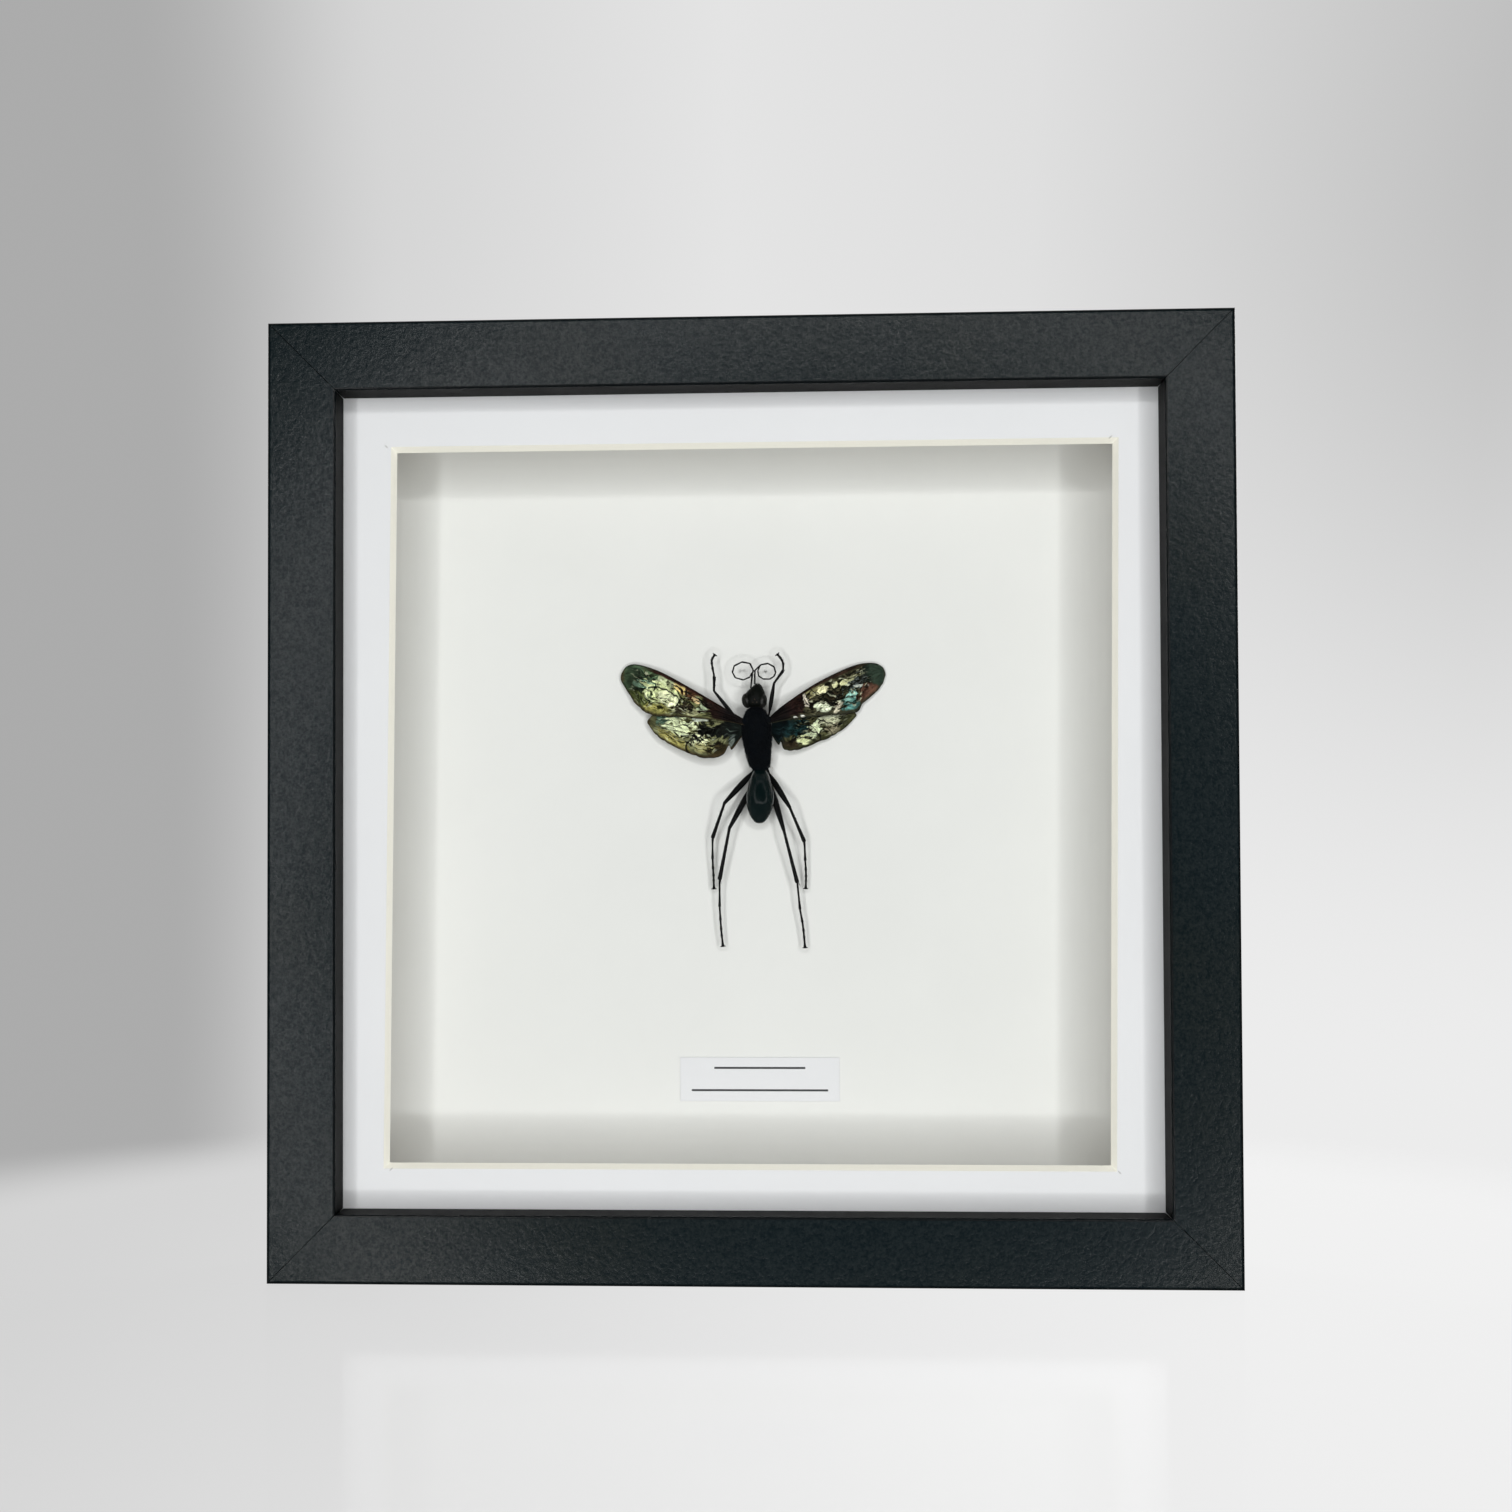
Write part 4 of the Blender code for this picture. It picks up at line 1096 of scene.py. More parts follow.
def wingPaint(name, wing):
    paint, shader = newPaint(name + "_foil", Metallic=membrane["metal"], Specular_IOR_Level=0.04)
    at = where()
    edges = axes(put("UVMap", uv_map="UVMap").outputs[0])
    u, v = edges["X"], edges["Y"]
    crumple = recall("crumple")
    # the sheet's own grain: slivers bent by two sizes of swirl
    sheet = put("CombineXYZ", {0: recall("along"), 1: recall("across")}).outputs[0]
    for scale, sway in ((230.0, (3.4, 3.6, 0)), (760.0, (0.9, 0.5, 0))):
        swirl = put("TexNoise", {"Vector": at, "Scale": scale, "Detail": 1.0}).outputs["Color"]
        sheet = vectorCalc("MULTIPLY_ADD", swirl, sway, sheet)
    seed = wing["seed"]
    streak = slivers(sheet, membrane["slivers"][0], seed)
    small = slivers(sheet, membrane["slivers"][1], seed + 4.7)
    facet = smallFacets(sheet, membrane["cells"], seed)
    # coloured patches with ragged, streaky borders; the pale ones are partly painted sheen
    drift = times(minus(grain(at, 420, 3.0, 0.6), 0.5), 1.1)
    border = plus(drift, times(times(minus(streak, 0.5), crumple), 2.6))
    colour = blend(grain(at, 300, 2.0), wing["ground"], toned(wing["ground"], 0.6))
    for patch in wing["patches"]:
        colour = patched(at, colour, border, patch)
    # painted glints: pale slivers lie close in the bright patches and thinly in the dark ones, with painted
    # shade between them
    bright = span(put("RGBToBW", {0: colour}).outputs[0], 0.06, 0.65, 0.0, membrane["cover"])
    lit = larger(span(plus(small, bright), 0.45, 0.55), minus(1.0, crumple))
    colour = blend(lit, blend(1.0, colour, membrane["gap"], "MULTIPLY"), colour)
    # a few thin pale strokes of painted glint everywhere
    glintStroke = span(slivers(sheet, membrane["glintStrokes"], seed + 9.1), 0.62, 0.70, 0.0, 0.6)
    glintStroke = times(glintStroke, times(crumple, span(u, 0.28, 0.42)))
    colour = blend(glintStroke, colour, wing["glintStroke"])
    # front strip, root with its rays, and brown rim
    wander = times(drift, 0.045)
    wanderU, wanderV = plus(u, wander), plus(v, wander)
    strip = times(span(wanderV, 0.11, 0.07), span(u, 0.86, 0.72))
    colour = blend(strip, colour, wing["strip"])
    root = span(plus(u, times(drift, 0.09)), 0.26, 0.14)
    colour = blend(root, colour, wing["root"])
    fan = put("CombineXYZ", {0: times(v, 13.0), 1: times(u, 4.0)}).outputs[0]
    rays = span(flatNoise(fan, 1.0), 0.60, 0.72, 0.0, 0.35)
    rays = times(rays, times(root, span(u, 0.02, 0.1)))
    colour = blend(rays, colour, wing["ray"])
    for patch in wing.get("rootPatches", ()):
        colour = patched(at, colour, times(drift, 0.6), patch)
    rim = larger(span(wanderU, 0.95, 0.985), span(wanderV, 0.89, 0.965))
    colour = blend(times(rim, 0.92), colour, wing["rim"])
    # the smooth parts are mottled
    mottle = larger(span(streak, 0.3, 0.7, 0.55, 1.25), calc("MINIMUM", crumple, 1.0))
    colour = vectorCalc("SCALE", colour, Scale=mottle)
    # a dark hem, and painted shade in thin creases, sharp bends and deep folds
    hem = larger(span(v, 0.972, 0.992), span(v, 0.03, 0.018))
    colour = blend(times(hem, 0.85), colour, membrane["hem"])
    ridge = absolute(minus(streak, 0.5))
    lines = times(span(ridge, 0.022, 0.006), span(grain(at, 700, 2.0), 0.40, 0.54))
    dark = larger(times(lines, crumple), span(recall("creaseShade"), 0.3, 0.75))
    colour = blend(times(dark, 0.93), colour, membrane["creaseShade"])
    # each small facet leans its own way
    lean = (membrane["lean"], 0, membrane["lean"])
    leaning = vectorCalc("MULTIPLY", vectorCalc("SUBTRACT", facet, (0.5, 0.5, 0.5)), lean)
    leaning = vectorCalc("SCALE", leaning, Scale=crumple)
    normal = vectorCalc("ADD", put("NewGeometry").outputs["Normal"], leaning)
    normal = vectorCalc("NORMALIZE", normal)
    normal = bump(times(small, crumple), 0.7, 0.0006, normal)
    scale = grain(at, 2600, 2.0)
    rough = plus(span(crumple, 0.1, 0.7, 0.42, 0.3), times(minus(scale, 0.5), 0.16))
    feed(shader, Base_Color=colour, Roughness=rough, Normal=bump(scale, 0.25, 0.00003, normal))
    return paint


def makeWings():
    for name, wing in wings.items():
        obj = settle(wingSheet(wing), name.replace("_", "") + "Sheet", wingPaint(name, wing))
        dress(obj, "wing_membrane", name)


makeWings()
print("wings made")


# Dark skin of the wasp


def pits(at, scale):
    return put("TexVoronoi", {"Vector": at, "Scale": scale}, feature="F1").outputs["Distance"]


def darkShell(name, base, sheen, roughness, pores, porous, level):
    paint, shader = newPaint(name, Specular_IOR_Level=level)
    at = where()
    cloud = grain(at, 500, 3.0)
    colour = blend(span(cloud, 0.35, 0.7), base, sheen)
    feed(shader, Base_Color=colour, Roughness=span(cloud, 0.3, 0.7, *roughness, "LINEAR"))
    feed(shader, Normal=bump(pits(at, pores), porous, 0.00004))
    return paint


def hairPaint(name, root, tip):
    paint, shader = newPaint(name, Roughness=0.6, Specular_IOR_Level=0.1)
    feed(shader, Base_Color=blend(grain(where(), 900, 2.0), root, tip))
    return paint


# Each shell: its name, two colours, range of roughness, pores per metre and their depth, and specular level
shells = {
    "thorax": (
        "thoraxVelvet", (0.0006, 0.0014, 0.0024), (0.0010, 0.0024, 0.0042), (0.7, 0.9), 2600, 0.4, 0.04,
    ),
    "abdomen": (
        "abdomenShell", (0.0003, 0.0044, 0.0046), (0.0008, 0.0058, 0.0060), (0.06, 0.085), 4200, 0.03, 0.45,
    ),
    "leg": ("legShell", (0.0012, 0.0015, 0.0017), (0.0026, 0.0030, 0.0032), (0.32, 0.46), 3000, 0.3, 0.08),
    "head": ("headSkin", (0.0012, 0.0020, 0.0014), (0.0032, 0.0042, 0.0030), (0.36, 0.52), 2400, 0.45, 0.06),
    "jaw": ("jawShell", (0.008, 0.005, 0.0035), (0.016, 0.009, 0.006), (0.25, 0.4), 3600, 0.15, 0.2),
}
skin = {piece: darkShell(*shell) for piece, shell in shells.items()}
skin["hair"] = hairPaint("darkHair", (0.0010, 0.0018, 0.0030), (0.0032, 0.0050, 0.0075))
skin["paleHair"] = hairPaint("paleHair", (0.35, 0.33, 0.28), (0.6, 0.57, 0.5))


def eyePaint(name, base, sheen):
    paint, shader = newPaint(name, Specular_IOR_Level=0.22)
    at = where()
    cloud = grain(at, 700, 2.0)
    colour = blend(span(cloud, 0.3, 0.7), base, sheen)
    feed(shader, Base_Color=colour, Roughness=span(cloud, 0.3, 0.7, 0.28, 0.4, "LINEAR"))
    feed(shader, Normal=bump(pits(at, 9000.0), 0.35, 0.00003))
    return paint


# Body stations as (up, right, half width, height over the card, half thickness), in mm
body = {
    "head": (
        (157.3, 2.2, 0.55, 4.0, 0.55), (157.0, 2.2, 1.0, 4.0, 1.0), (156.5, 2.1, 1.4, 4.1, 1.5),
        (155.6, 1.8, 2.1, 4.3, 2.0), (154.4, 1.55, 2.75, 4.5, 2.3), (153.0, 1.35, 3.05, 4.6, 2.45),
        (151.8, 1.4, 2.95, 4.6, 2.3), (151.1, 1.45, 2.4, 4.5, 1.8), (150.8, 1.5, 1.4, 4.5, 1.0),
    ),
    "thorax": (
        (150.9, 1.7, 1.4, 4.5, 1.2), (150.4, 1.7, 2.1, 4.5, 1.9), (149.6, 1.75, 2.75, 4.6, 2.8),
        (147.6, 1.85, 3.6, 4.7, 3.8), (144.6, 1.95, 4.05, 4.75, 4.2), (141.2, 2.1, 3.75, 4.65, 4.0),
        (138.4, 2.3, 3.35, 4.4, 3.5), (136.2, 2.6, 2.95, 4.2, 2.8), (135.0, 2.7, 2.7, 4.2, 2.4),
        (134.2, 2.75, 2.3, 4.2, 2.05), (133.6, 2.8, 1.7, 4.2, 1.5), (133.3, 2.8, 0.8, 4.2, 0.7),
    ),
    "abdomen": (
        (134.7, 2.8, 0.6, 4.2, 0.55), (134.2, 2.8, 1.15, 4.25, 1.0), (133.4, 2.8, 1.75, 4.5, 1.65),
        (132.2, 2.8, 2.4, 4.9, 2.25), (131.2, 2.8, 2.78, 5.1, 2.6), (129.8, 2.8, 3.18, 5.1, 2.84),
        (128.4, 2.8, 3.5, 5.1, 2.9), (126.8, 2.78, 3.72, 5.1, 2.81), (125.0, 2.75, 3.76, 5.05, 2.57),
        (123.6, 2.7, 3.52, 4.95, 2.25), (122.2, 2.65, 3.02, 4.8, 1.85), (120.9, 2.6, 2.38, 4.7, 1.35),
        (119.9, 2.6, 1.65, 4.55, 0.95), (119.4, 2.6, 1.05, 4.5, 0.65), (119.2, 2.6, 0.45, 4.5, 0.35),
    ),
}

plates = {
    "thoraxGrooves": (149.2, 146.9, 141.6, 139.6, 138.3),  # up, mm
    "grooveDeep": 0.035,  # share of the thickness
    "abdomenSteps": (124.1, 122.5, 121.3, 120.4),  # rear edges of the last plates
    "flare": 0.008,
    "step": 0.006,
    "backMiddle": 1.95,  # the thorax's middle line, right in mm
    "backOver": 6.5,  # height over the card from which it has grooves and a shield
    "backGrooves": {"beside": 1.35, "wide": 0.25, "up": 144.6, "long": 2.2, "deep": 0.18},
    "rearShield": {"beside": 0, "wide": 1.5, "up": 140.7, "long": 0.8, "deep": -0.32},
}


def stationRings(stations, count, shape):
    # many rings on a smooth curve through the stations, with the radius changed by shape(up)
    fine = smoothCurve(stations, count)
    return [
        (spot(right, up, height), wide * shape(up) * mm, thick * shape(up) * mm)
        for up, right, wide, height, thick in fine
    ]


def mound(value, middle, width):
    return math.exp(-(((value - middle) / width) ** 2))


def thoraxShape(up):
    return 1 - sum(plates["grooveDeep"] * mound(up, at, 0.22) for at in plates["thoraxGrooves"])


def abdomenShape(up):
    # each plate flares a little to its rear edge and steps down to the next
    scale = 1.0
    for at in plates["abdomenSteps"]:
        if up > at:
            scale += plates["flare"] * math.exp(-(up - at) / 0.6)
        else:
            scale -= plates["step"] * math.exp(-(at - up) / 0.5)
    return scale


def makeTrunk():
    thorax = loft(stationRings(body["thorax"], 60, thoraxShape), 48, 2.2, 2.2)
    for vertex in thorax.data.vertices:
        # a shallow groove each side of the back's middle, and a raised rear shield
        side, up = abs(vertex.co.x - plates["backMiddle"] * mm) / mm, vertex.co.z / mm
        if vertex.co.y < cardFront - plates["backOver"] * mm:
            for form in (plates["backGrooves"], plates["rearShield"]):
                dent = mound(side, form["beside"], form["wide"]) * mound(up, form["up"], form["long"])
                vertex.co.y += form["deep"] * mm * dent
    dress(settle(thorax, "thoraxBody", skin["thorax"]), "thorax_velvet", "thorax")

    abdomen = loft(stationRings(body["abdomen"], 90, abdomenShape), 48, 2.7, 2.1)
    dress(settle(abdomen, "abdomenBody", skin["abdomen"]), "abdomen_shell", "abdomen")
    return thorax, abdomen


head = {
    "eyes": {
        # both eyes are of one kind: the right eye's lighter colours are painted light, the left eye's darker
        # ones painted shade
        "eyeLeft": {
            "place": (-0.72, 152.7, 4.9), "radii": (1.42, 1.85, 2.05), "lean": -12,
            "base": (0.0022, 0.0024, 0.0017), "sheen": (0.0055, 0.0058, 0.0042),
        },
        "eyeRight": {
            "place": (3.35, 152.6, 4.9), "radii": (1.42, 1.85, 2.1), "lean": 10,
            "base": (0.0032, 0.0036, 0.0030), "sheen": (0.0085, 0.0090, 0.0080),
        },
    },
    "ocelli": ((1.45, 152.9, 6.95), (0.95, 152.1, 6.85), (1.95, 152.15, 6.85)),  # three on the crown
    "ocellus": 0.2,  # radius, mm
    "ocellusColours": ((0.02, 0.012, 0.006), (0.04, 0.025, 0.012)),
    "jaws": (((1.3, 156.6, 3.6), (2.15, 157.6, 3.3)), ((3.0, 156.4, 3.6), (2.45, 157.6, 3.2))),
    "jawForm": ((0, 0.42), (0.35, 0.4), (0.7, 0.3), (0.92, 0.18), (1, 0.08)),
    "sockets": ((0.75, 155.6, 5.1), (1.75, 156.4, 5.3)),
    "socket": (0.42, 0.32, 0.42),
}


def makeHead():
    skull = loft(stationRings(body["head"], 44, lambda up: 1.0), 40, 2.1, 2.1)
    skull = modified(skull, "SUBSURF", levels=1, render_levels=1)
    sockets = [ball(spot(*place), head["socket"], 20, 12) for place in head["sockets"]]
    skull = joined("headCapsule", [skull, *sockets], skin["head"])
    dress(skull, "head_skin", "head")
    for name, eye in head["eyes"].items():
        obj = ball(spot(*eye["place"]), eye["radii"], 56, 40, (0, math.radians(eye["lean"]), 0))
        dress(settle(obj, name, eyePaint(name + "Facets", eye["base"], eye["sheen"])), "head_skin")
    beads = [ball(spot(*place), (head["ocellus"],) * 3, 16, 10) for place in head["ocelli"]]
    dress(joined("ocelli", beads, eyePaint("ocellusGloss", *head["ocellusColours"])), "head_skin")
    jaws = [limb(spot(*root), spot(*tip), head["jawForm"], 14, 0.7) for root, tip in head["jaws"]]
    dress(joined("jaws", jaws, skin["jaw"]), "head_skin")
    return skull


thorax, abdomen = makeTrunk()
skull = makeHead()
print("body made")


# Legs, as (right, up, height over the card) in mm: the joints from the coxa's root to the ankle, and points
# along the foot; then the side that the spurs are on
legs = {
    "foreleg_left": {
        "joints": ((-0.9, 146.4, 1.2), (-3.1, 147.1, 2.6), (-9.7, 155.4, 5.3), (-9.6, 159.3, 5.2)),
        "foot": ((-10.1, 161.8, 5.1), (-10.3, 163.9, 4.8), (-9.6, 165.2, 4.4)), "spur": -1,
    },
    "foreleg_right": {
        "joints": ((4.7, 147.4, 1.2), (5.4, 149.6, 2.6), (6.7, 157.4, 5.3), (9.2, 160.8, 5.2)),
        "foot": ((9.3, 162.5, 5.1), (8.8, 163.9, 4.8), (7.8, 165.2, 4.4)), "spur": 1,
    },
    "midleg_left": {
        "joints": ((1.9, 136.0, 0.9), (0.9, 133.4, 2.0), (-6.9, 124.7, 6.8), (-10.3, 115.2, 3.8)),
        "foot": ((-10.3, 108.9, 3.2), (-10.1, 105.2, 2.8), (-10.0, 101.6, 2.5)), "spur": 1,
    },
    "midleg_right": {
        "joints": ((3.8, 136.0, 0.9), (5.1, 132.9, 2.0), (10.8, 123.5, 6.8), (14.8, 114.1, 3.8)),
        "foot": ((15.0, 108.8, 3.2), (15.2, 105.2, 2.8), (15.1, 101.6, 2.5)), "spur": -1,
    },
    "hindleg_left": {
        "joints": ((2.2, 133.6, 0.7), (1.1, 130.4, 1.0), (-5.6, 117.9, 5.9), (-8.4, 103.8, 4.4)),
        "foot": ((-8.5, 98.6, 3.9), (-8.1, 91.1, 3.5), (-7.6, 85.9, 3.0)), "spur": 1,
    },
    "hindleg_right": {
        "joints": ((3.6, 133.6, 0.7), (5.3, 130.4, 1.0), (9.2, 117.2, 5.9), (12.8, 102.9, 4.4)),
        "foot": ((13.4, 96.4, 3.9), (14.3, 91.1, 3.5), (14.8, 85.5, 3.0)), "spur": 1,
    },
}

legForm = {
    "thigh": {"foreleg": 0.65, "midleg": 1.0, "hindleg": 1.0},
    "shin": {"foreleg": 0.95, "midleg": 1.1, "hindleg": 1.2},
    "coxa": ((0, 0.42), (0.3, 0.5), (0.8, 0.44), (1.0, 0.36)),
    "femur": (
        (0, 0.34), (0.05, 0.48), (0.12, 0.65), (0.25, 0.84), (0.4, 0.92), (0.6, 0.88), (0.78, 0.72),
        (0.92, 0.58), (0.985, 0.52), (1.0, 0.4),
    ),
    "tibia": (
        (0.0, 0.3), (0.03, 0.38), (0.1, 0.36), (0.3, 0.38), (0.6, 0.43), (0.85, 0.5), (0.96, 0.55),
        (0.99, 0.5), (1.0, 0.38),
    ),
    "foot": ((0.0, 0.22), (0.06, 0.29), (0.5, 0.27), (0.8, 0.33), (0.94, 0.41), (1.0, 0.28)),
    "claw": (((0, 0.19), (0.5, 0.18), (1, 0.14)), ((0, 0.14), (0.5, 0.11), (1, 0.02))),  # its two halves
    "footShares": (0.0, 0.42, 0.62, 0.76, 0.86, 1.0),  # the first joint is as long as the next two
    "spines": {"foreleg": 4, "midleg": 9, "hindleg": 12},
    "spine": ((0, 0.05), (0.5, 0.034), (0.85, 0.016), (1, 0.004)),  # of one spine 1 mm long
    "spur": {"foreleg": 0.4, "midleg": 1.1, "hindleg": 1.2},  # mm
}


def spikeMaster():
    # a thin cone one millimetre long, standing on the origin
    return loft([(Vector((0, 0, z * mm)), r * mm, r * mm) for z, r in legForm["spine"]], 6)


def spike(master, foot, way, length, thick=1.0):
    turn = way.normalized().to_track_quat("Z", "Y").to_matrix().to_4x4()
    size = Matrix.Diagonal((thick, thick, length, 1))
    return cloned(master, Matrix.Translation(foot) @ turn @ size)


def makeLeg(name, leg, master, random):
    pair = name.split("_")[0]
    thigh, shin = legForm["thigh"][pair], legForm["shin"][pair]
    coxa, hip, knee, ankle = (spot(*joint) for joint in leg["joints"])
    parts = [
        limb(coxa, hip, [(s, r * thigh) for s, r in legForm["coxa"]], 18),
        limb(hip, knee, [(s, r * thigh) for s, r in legForm["femur"]], 26, 0.9),
        limb(knee, ankle, [(s, r * shin) for s, r in legForm["tibia"]], 20, 0.9),
        ball(knee, (0.46 * thigh,) * 3, 16, 10),
    ]
    # the foot's joints follow a smooth line and widen towards their ends
    track = smoothCurve([leg["joints"][-1], *leg["foot"]], 101)
    ends = [Vector(spot(*track[round(share * 100)])) for share in legForm["footShares"]]
    parts += [limb(start, end, legForm["foot"], 14) for start, end in zip(ends, ends[1:])]
    outward = Vector((leg["spur"], 0, 0))
    front = Vector((0, -1, 0))
    # spines along the shin and at the ends of the foot's joints, and two spurs
    way = (ankle - knee).normalized()
    side = way.cross(front).normalized()
    count = legForm["spines"][pair]
    for k in range(count):
        share = 0.15 + 0.78 * k / count
        turn = random.uniform(-1.1, 1.1) + (0 if k % 2 else math.pi)
        out = (math.cos(turn) * side + math.sin(turn) * front).normalized()
        at = knee.lerp(ankle, share) + out * 0.34 * shin * mm
        parts.append(spike(master, at, out * 0.5 + way * 0.85, random.uniform(0.4, 0.6), 1.1))
    for turn, length in ((0.3, 1.0), (-0.5, 0.75)):
        out = (outward * math.cos(turn) + front * math.sin(turn)).normalized()
        length *= legForm["spur"][pair]
        parts.append(spike(master, ankle + out * 0.3 * shin * mm, way * 0.95 + out * 0.3, length, 2.2))
    for start, end in zip(ends, ends[1:]):
        along = (end - start).normalized()
        across = along.cross(front).normalized()
        for sign, lean in ((-1, -0.5), (-1, 0.5), (1, -0.5), (1, 0.5)):
            out = (across * sign + front * lean).normalized()
            at = start.lerp(end, 0.92) + out * 0.3 * mm
            parts.append(spike(master, at, along * 0.85 + out * 0.5, random.uniform(0.3, 0.45)))
    # two claws that curve apart, and the pad between them
    tip = ends[-1]
    parts.append(ball(tip + along * 0.14 * mm, (0.38, 0.32, 0.38), 18, 12))
    for sign in (-1, 1):
        bend = tip + (across * sign * 0.5 + along * 0.34) * mm
        point = bend + (across * sign * 0.25 - along * 0.12 - front * 0.3) * mm
        parts.append(limb(tip, bend, legForm["claw"][0], 10))
        parts.append(limb(bend, point, legForm["claw"][1], 10))
    return joined(name.replace("_", "") + "Limb", parts, skin["leg"])


def makeLegs():
    master = spikeMaster()
    random = np.random.default_rng(5)
    for name, leg in legs.items():
        dress(makeLeg(name, leg, master, random), "leg_shell", name)
    bpy.data.objects.remove(master, do_unlink=True)


makeLegs()
print("legs made")


# Antennae: corners of the stiff joints as (right, up) in mm, from the head
antennae = {
    "antenna_left": (
        (0.35, 156.2), (0.8, 160.0), (1.05, 161.05), (0.13, 162.9), (-2.05, 163.3), (-4.15, 162.25),
        (-4.65, 160.5), (-3.85, 159.0), (-1.7, 158.4), (0.05, 159.1), (0.68, 160.3),
    ),
    "antenna_right": (
        (1.45, 157.2), (1.5, 160.0), (1.6, 161.05), (3.15, 162.5), (5.05, 162.85), (6.75, 161.9),
        (7.15, 160.3), (6.7, 159.3), (5.55, 158.55), (3.75, 158.6), (2.5, 159.45), (2.3, 160.8),
        (2.8, 162.05),
    ),
}
antennaForm = {
    "height": 4.9,  # over the card, mm
    "thick": 0.25,
    "thin": 0.2,
    # along one joint: share of its length, share of its radius, and 1 where it is drawn in to the waist
    "joint": (
        (-0.02, 0.8, 1), (0.0, 1, 1), (0.12, 1, 1), (0.6, 1, 0), (0.93, 1.05, 0), (1.0, 1, 1),
        (1.02, 0.8, 1),
    ),
    "waist": 0.86,
}


def makeAntenna(name, corners):
    last = len(corners) - 1
    parts = []
    for k in range(last):
        start, end = (spot(*corner, antennaForm["height"]) for corner in corners[k : k + 2])
        radius = antennaForm["thick"] + (antennaForm["thin"] - antennaForm["thick"]) * k / last
        radii = (radius, radius * antennaForm["waist"])
        parts.append(limb(start, end, [(s, radii[drawn] * r) for s, r, drawn in antennaForm["joint"]], 14))
    return joined(name.replace("_", "") + "Joints", parts, skin["leg"])


for name, corners in antennae.items():
    dress(makeAntenna(name, corners), "leg_shell", name)
print("antennae made")


# Short hair as one mesh of thin bent spikes: its length and thickness in mm, how far it leans down, and from
# where up to where on the body it grows, in mm

fur = {
    "thorax": {
        "count": 11000, "long": (0.28, 0.6), "thick": 0.028, "lean": 0.9,
        "from": 134.6, "to": 150.6, "seed": 3,
    },
    "head": {
        "count": 900, "long": (0.2, 0.4), "thick": 0.018, "lean": 0.5,
        "from": 150.9, "to": 156.6, "seed": 4,
    },
    "abdomen": {
        "count": 450, "long": (0.14, 0.28), "thick": 0.014, "lean": 2.2,
        "from": 119.2, "to": 122.6, "seed": 6,
    },
}


def placeKey(places):
    # one whole number for each place: up first, then right, then along Y, in thousandths of a millimetre
    x, y, z = np.moveaxis(np.rint(places / mm * 1000).astype(np.int64), -1, 0)
    return (z * 10**6 + x) * 10**6 + y


def surfacePoints(obj, count, low, high, random):
    # random places on the four-sided faces. Blender numbers new faces and their corners differently in each
    # run, so they are sorted by place first, and every run gives the same hair
    mesh = obj.data
    co = np.empty(len(mesh.vertices) * 3)
    mesh.vertices.foreach_get("co", co)
    co = co.reshape(-1, 3)
    quads = np.array([tuple(face.vertices) for face in mesh.polygons if len(face.vertices) == 4])
    quads = quads[np.argsort(placeKey(co[quads].mean(axis=1)))]
    first = np.argmin(placeKey(co[quads]), axis=1)
    corners = co[np.take_along_axis(quads, (first[:, None] + np.arange(4)) % 4, axis=1)]
    cross = np.cross(corners[:, 2] - corners[:, 0], corners[:, 3] - corners[:, 1])
    area = np.linalg.norm(cross, axis=1)
    up = corners[:, :, 2].mean(axis=1) / mm
    weight = area * ((up > low) & (up < high))
    chosen = random.choice(len(area), count, p=weight / weight.sum())
    a, b = random.random(count)[:, None], random.random(count)[:, None]
    near = corners[chosen, 0] * (1 - a) + corners[chosen, 1] * a
    far = corners[chosen, 3] * (1 - a) + corners[chosen, 2] * a
    return near * (1 - b) + far * b, cross[chosen] / area[chosen, None]


def spikes(name, points, ways, lengths, thick, droop, random):
    # each hair: a three-sided spike with one bend, closed at its foot
    count = len(points)
    ways = ways / np.linalg.norm(ways, axis=1, keepdims=True)
    side = np.cross(ways, random.normal(size=(count, 3)))
    side /= np.linalg.norm(side, axis=1, keepdims=True)
    other = np.cross(ways, side)
    rings = []
    for share, radius in ((0.0, 1.0), (0.55, 0.7)):
        middle = points + ways * (lengths * share)[:, None] + droop * (share**2) * lengths[:, None]
        for k in range(3):
            a = 2 * math.pi * k / 3
            rings.append(middle + (side * math.cos(a) + other * math.sin(a)) * thick * radius * mm)
    tip = points + ways * lengths[:, None] + droop * lengths[:, None]
    vertices = np.stack([*rings, tip], axis=1).reshape(-1, 3)
    foot, bend, point = [(2, 1, 0)], [], []
    for k, after in ((0, 1), (1, 2), (2, 0)):
        bend += [(k, after, after + 3), (k, after + 3, k + 3)]
        point.append((k + 3, after + 3, 6))
    pattern = np.array(foot + bend + point)
    faces = (np.arange(count)[:, None, None] * 7 + pattern[None]).reshape(-1, 3)
    mesh = bpy.data.meshes.new(name)
    mesh.from_pydata(vertices.tolist(), [], faces.tolist())
    obj = bpy.data.objects.new(name, mesh)
    bpy.context.scene.collection.objects.link(obj)
    return obj


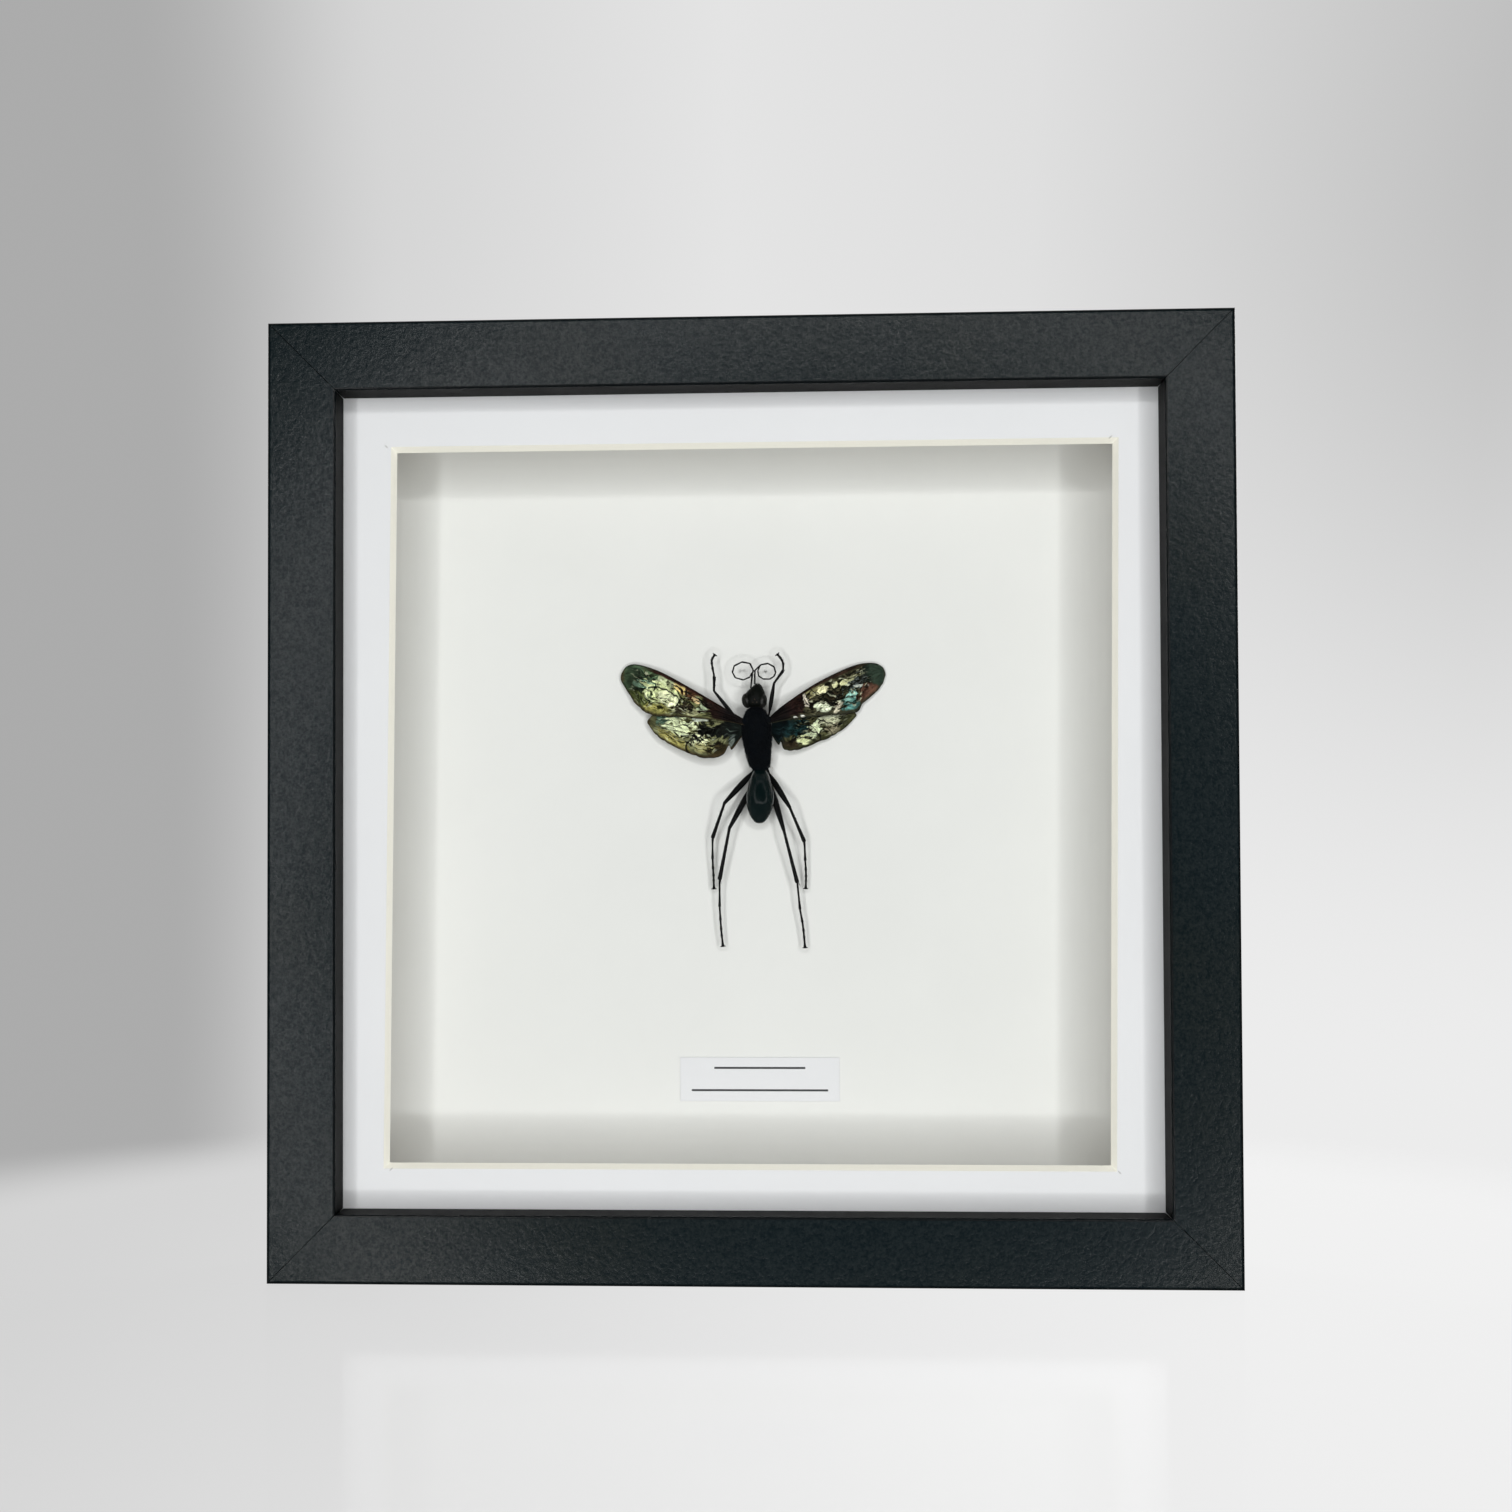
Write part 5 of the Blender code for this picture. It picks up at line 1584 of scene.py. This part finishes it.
def makeFur(name, obj, slot, settings):
    random = np.random.default_rng(settings["seed"])
    points, normals = surfacePoints(obj, settings["count"], settings["from"], settings["to"], random)
    ways = normals + np.array((0, 0, -settings["lean"])) + random.normal(size=normals.shape) * 0.35
    lengths = random.uniform(*settings["long"], len(points)) * mm
    droop = np.array((0, 0, -0.25))
    hair = spikes(name, points - normals * 0.02 * mm, ways, lengths, settings["thick"], droop, random)
    dress(settle(hair, name, skin["hair"]), slot)


bristles = {
    "count": 16,
    "middle": (5.6, 135.2, 3.6),  # right, up and height over the card, mm
    "spread": ((-0.2, 0.5), (-1.6, 2.2), (-0.6, 0.6)),
    "ways": ((0.2, 0.6), (-0.3, 0.1), (-1, -0.5)),
    "long": (0.7, 1.3),
    "thick": 0.03,
    "seed": 9,
}


def makePaleHairs():
    # a few pale bristles stand out beside the waist
    random = np.random.default_rng(bristles["seed"])
    count = bristles["count"]
    ranges = list(zip(bristles["middle"], bristles["spread"]))
    places = [[middle + random.uniform(*spread) for middle, spread in ranges] for _ in range(count)]
    ways = np.stack([random.uniform(*way, count) for way in bristles["ways"]], axis=1)
    lengths = random.uniform(*bristles["long"], count) * mm
    points = np.array([spot(*place) for place in places])
    hair = spikes("waistBristles", points, ways, lengths, bristles["thick"], np.array((0, 0, -0.1)), random)
    dress(settle(hair, "waistBristles", skin["paleHair"]), "thorax_velvet")


makeFur("thoraxFur", thorax, "thorax_velvet", fur["thorax"])
makeFur("headFur", skull, "head_skin", fur["head"])
makeFur("abdomenFur", abdomen, "abdomen_shell", fur["abdomen"])
makePaleHairs()
print("hair made")


# Wing roots: the small shields over each wing base
shields = {
    "left": ((-0.9, 147.1, 6.75), (1.15, 0.75, 1.3), 20),
    "right": ((4.7, 147.3, 6.75), (1.15, 0.75, 1.3), -20),
}


def makeShields():
    pair = []
    for place, radii, lean in shields.values():
        pair.append(ball(spot(*place), radii, 28, 18, (0, math.radians(lean), 0)))
    dress(joined("wingShields", pair, skin["thorax"]), "thorax_velvet")


makeShields()

print("all pieces made")
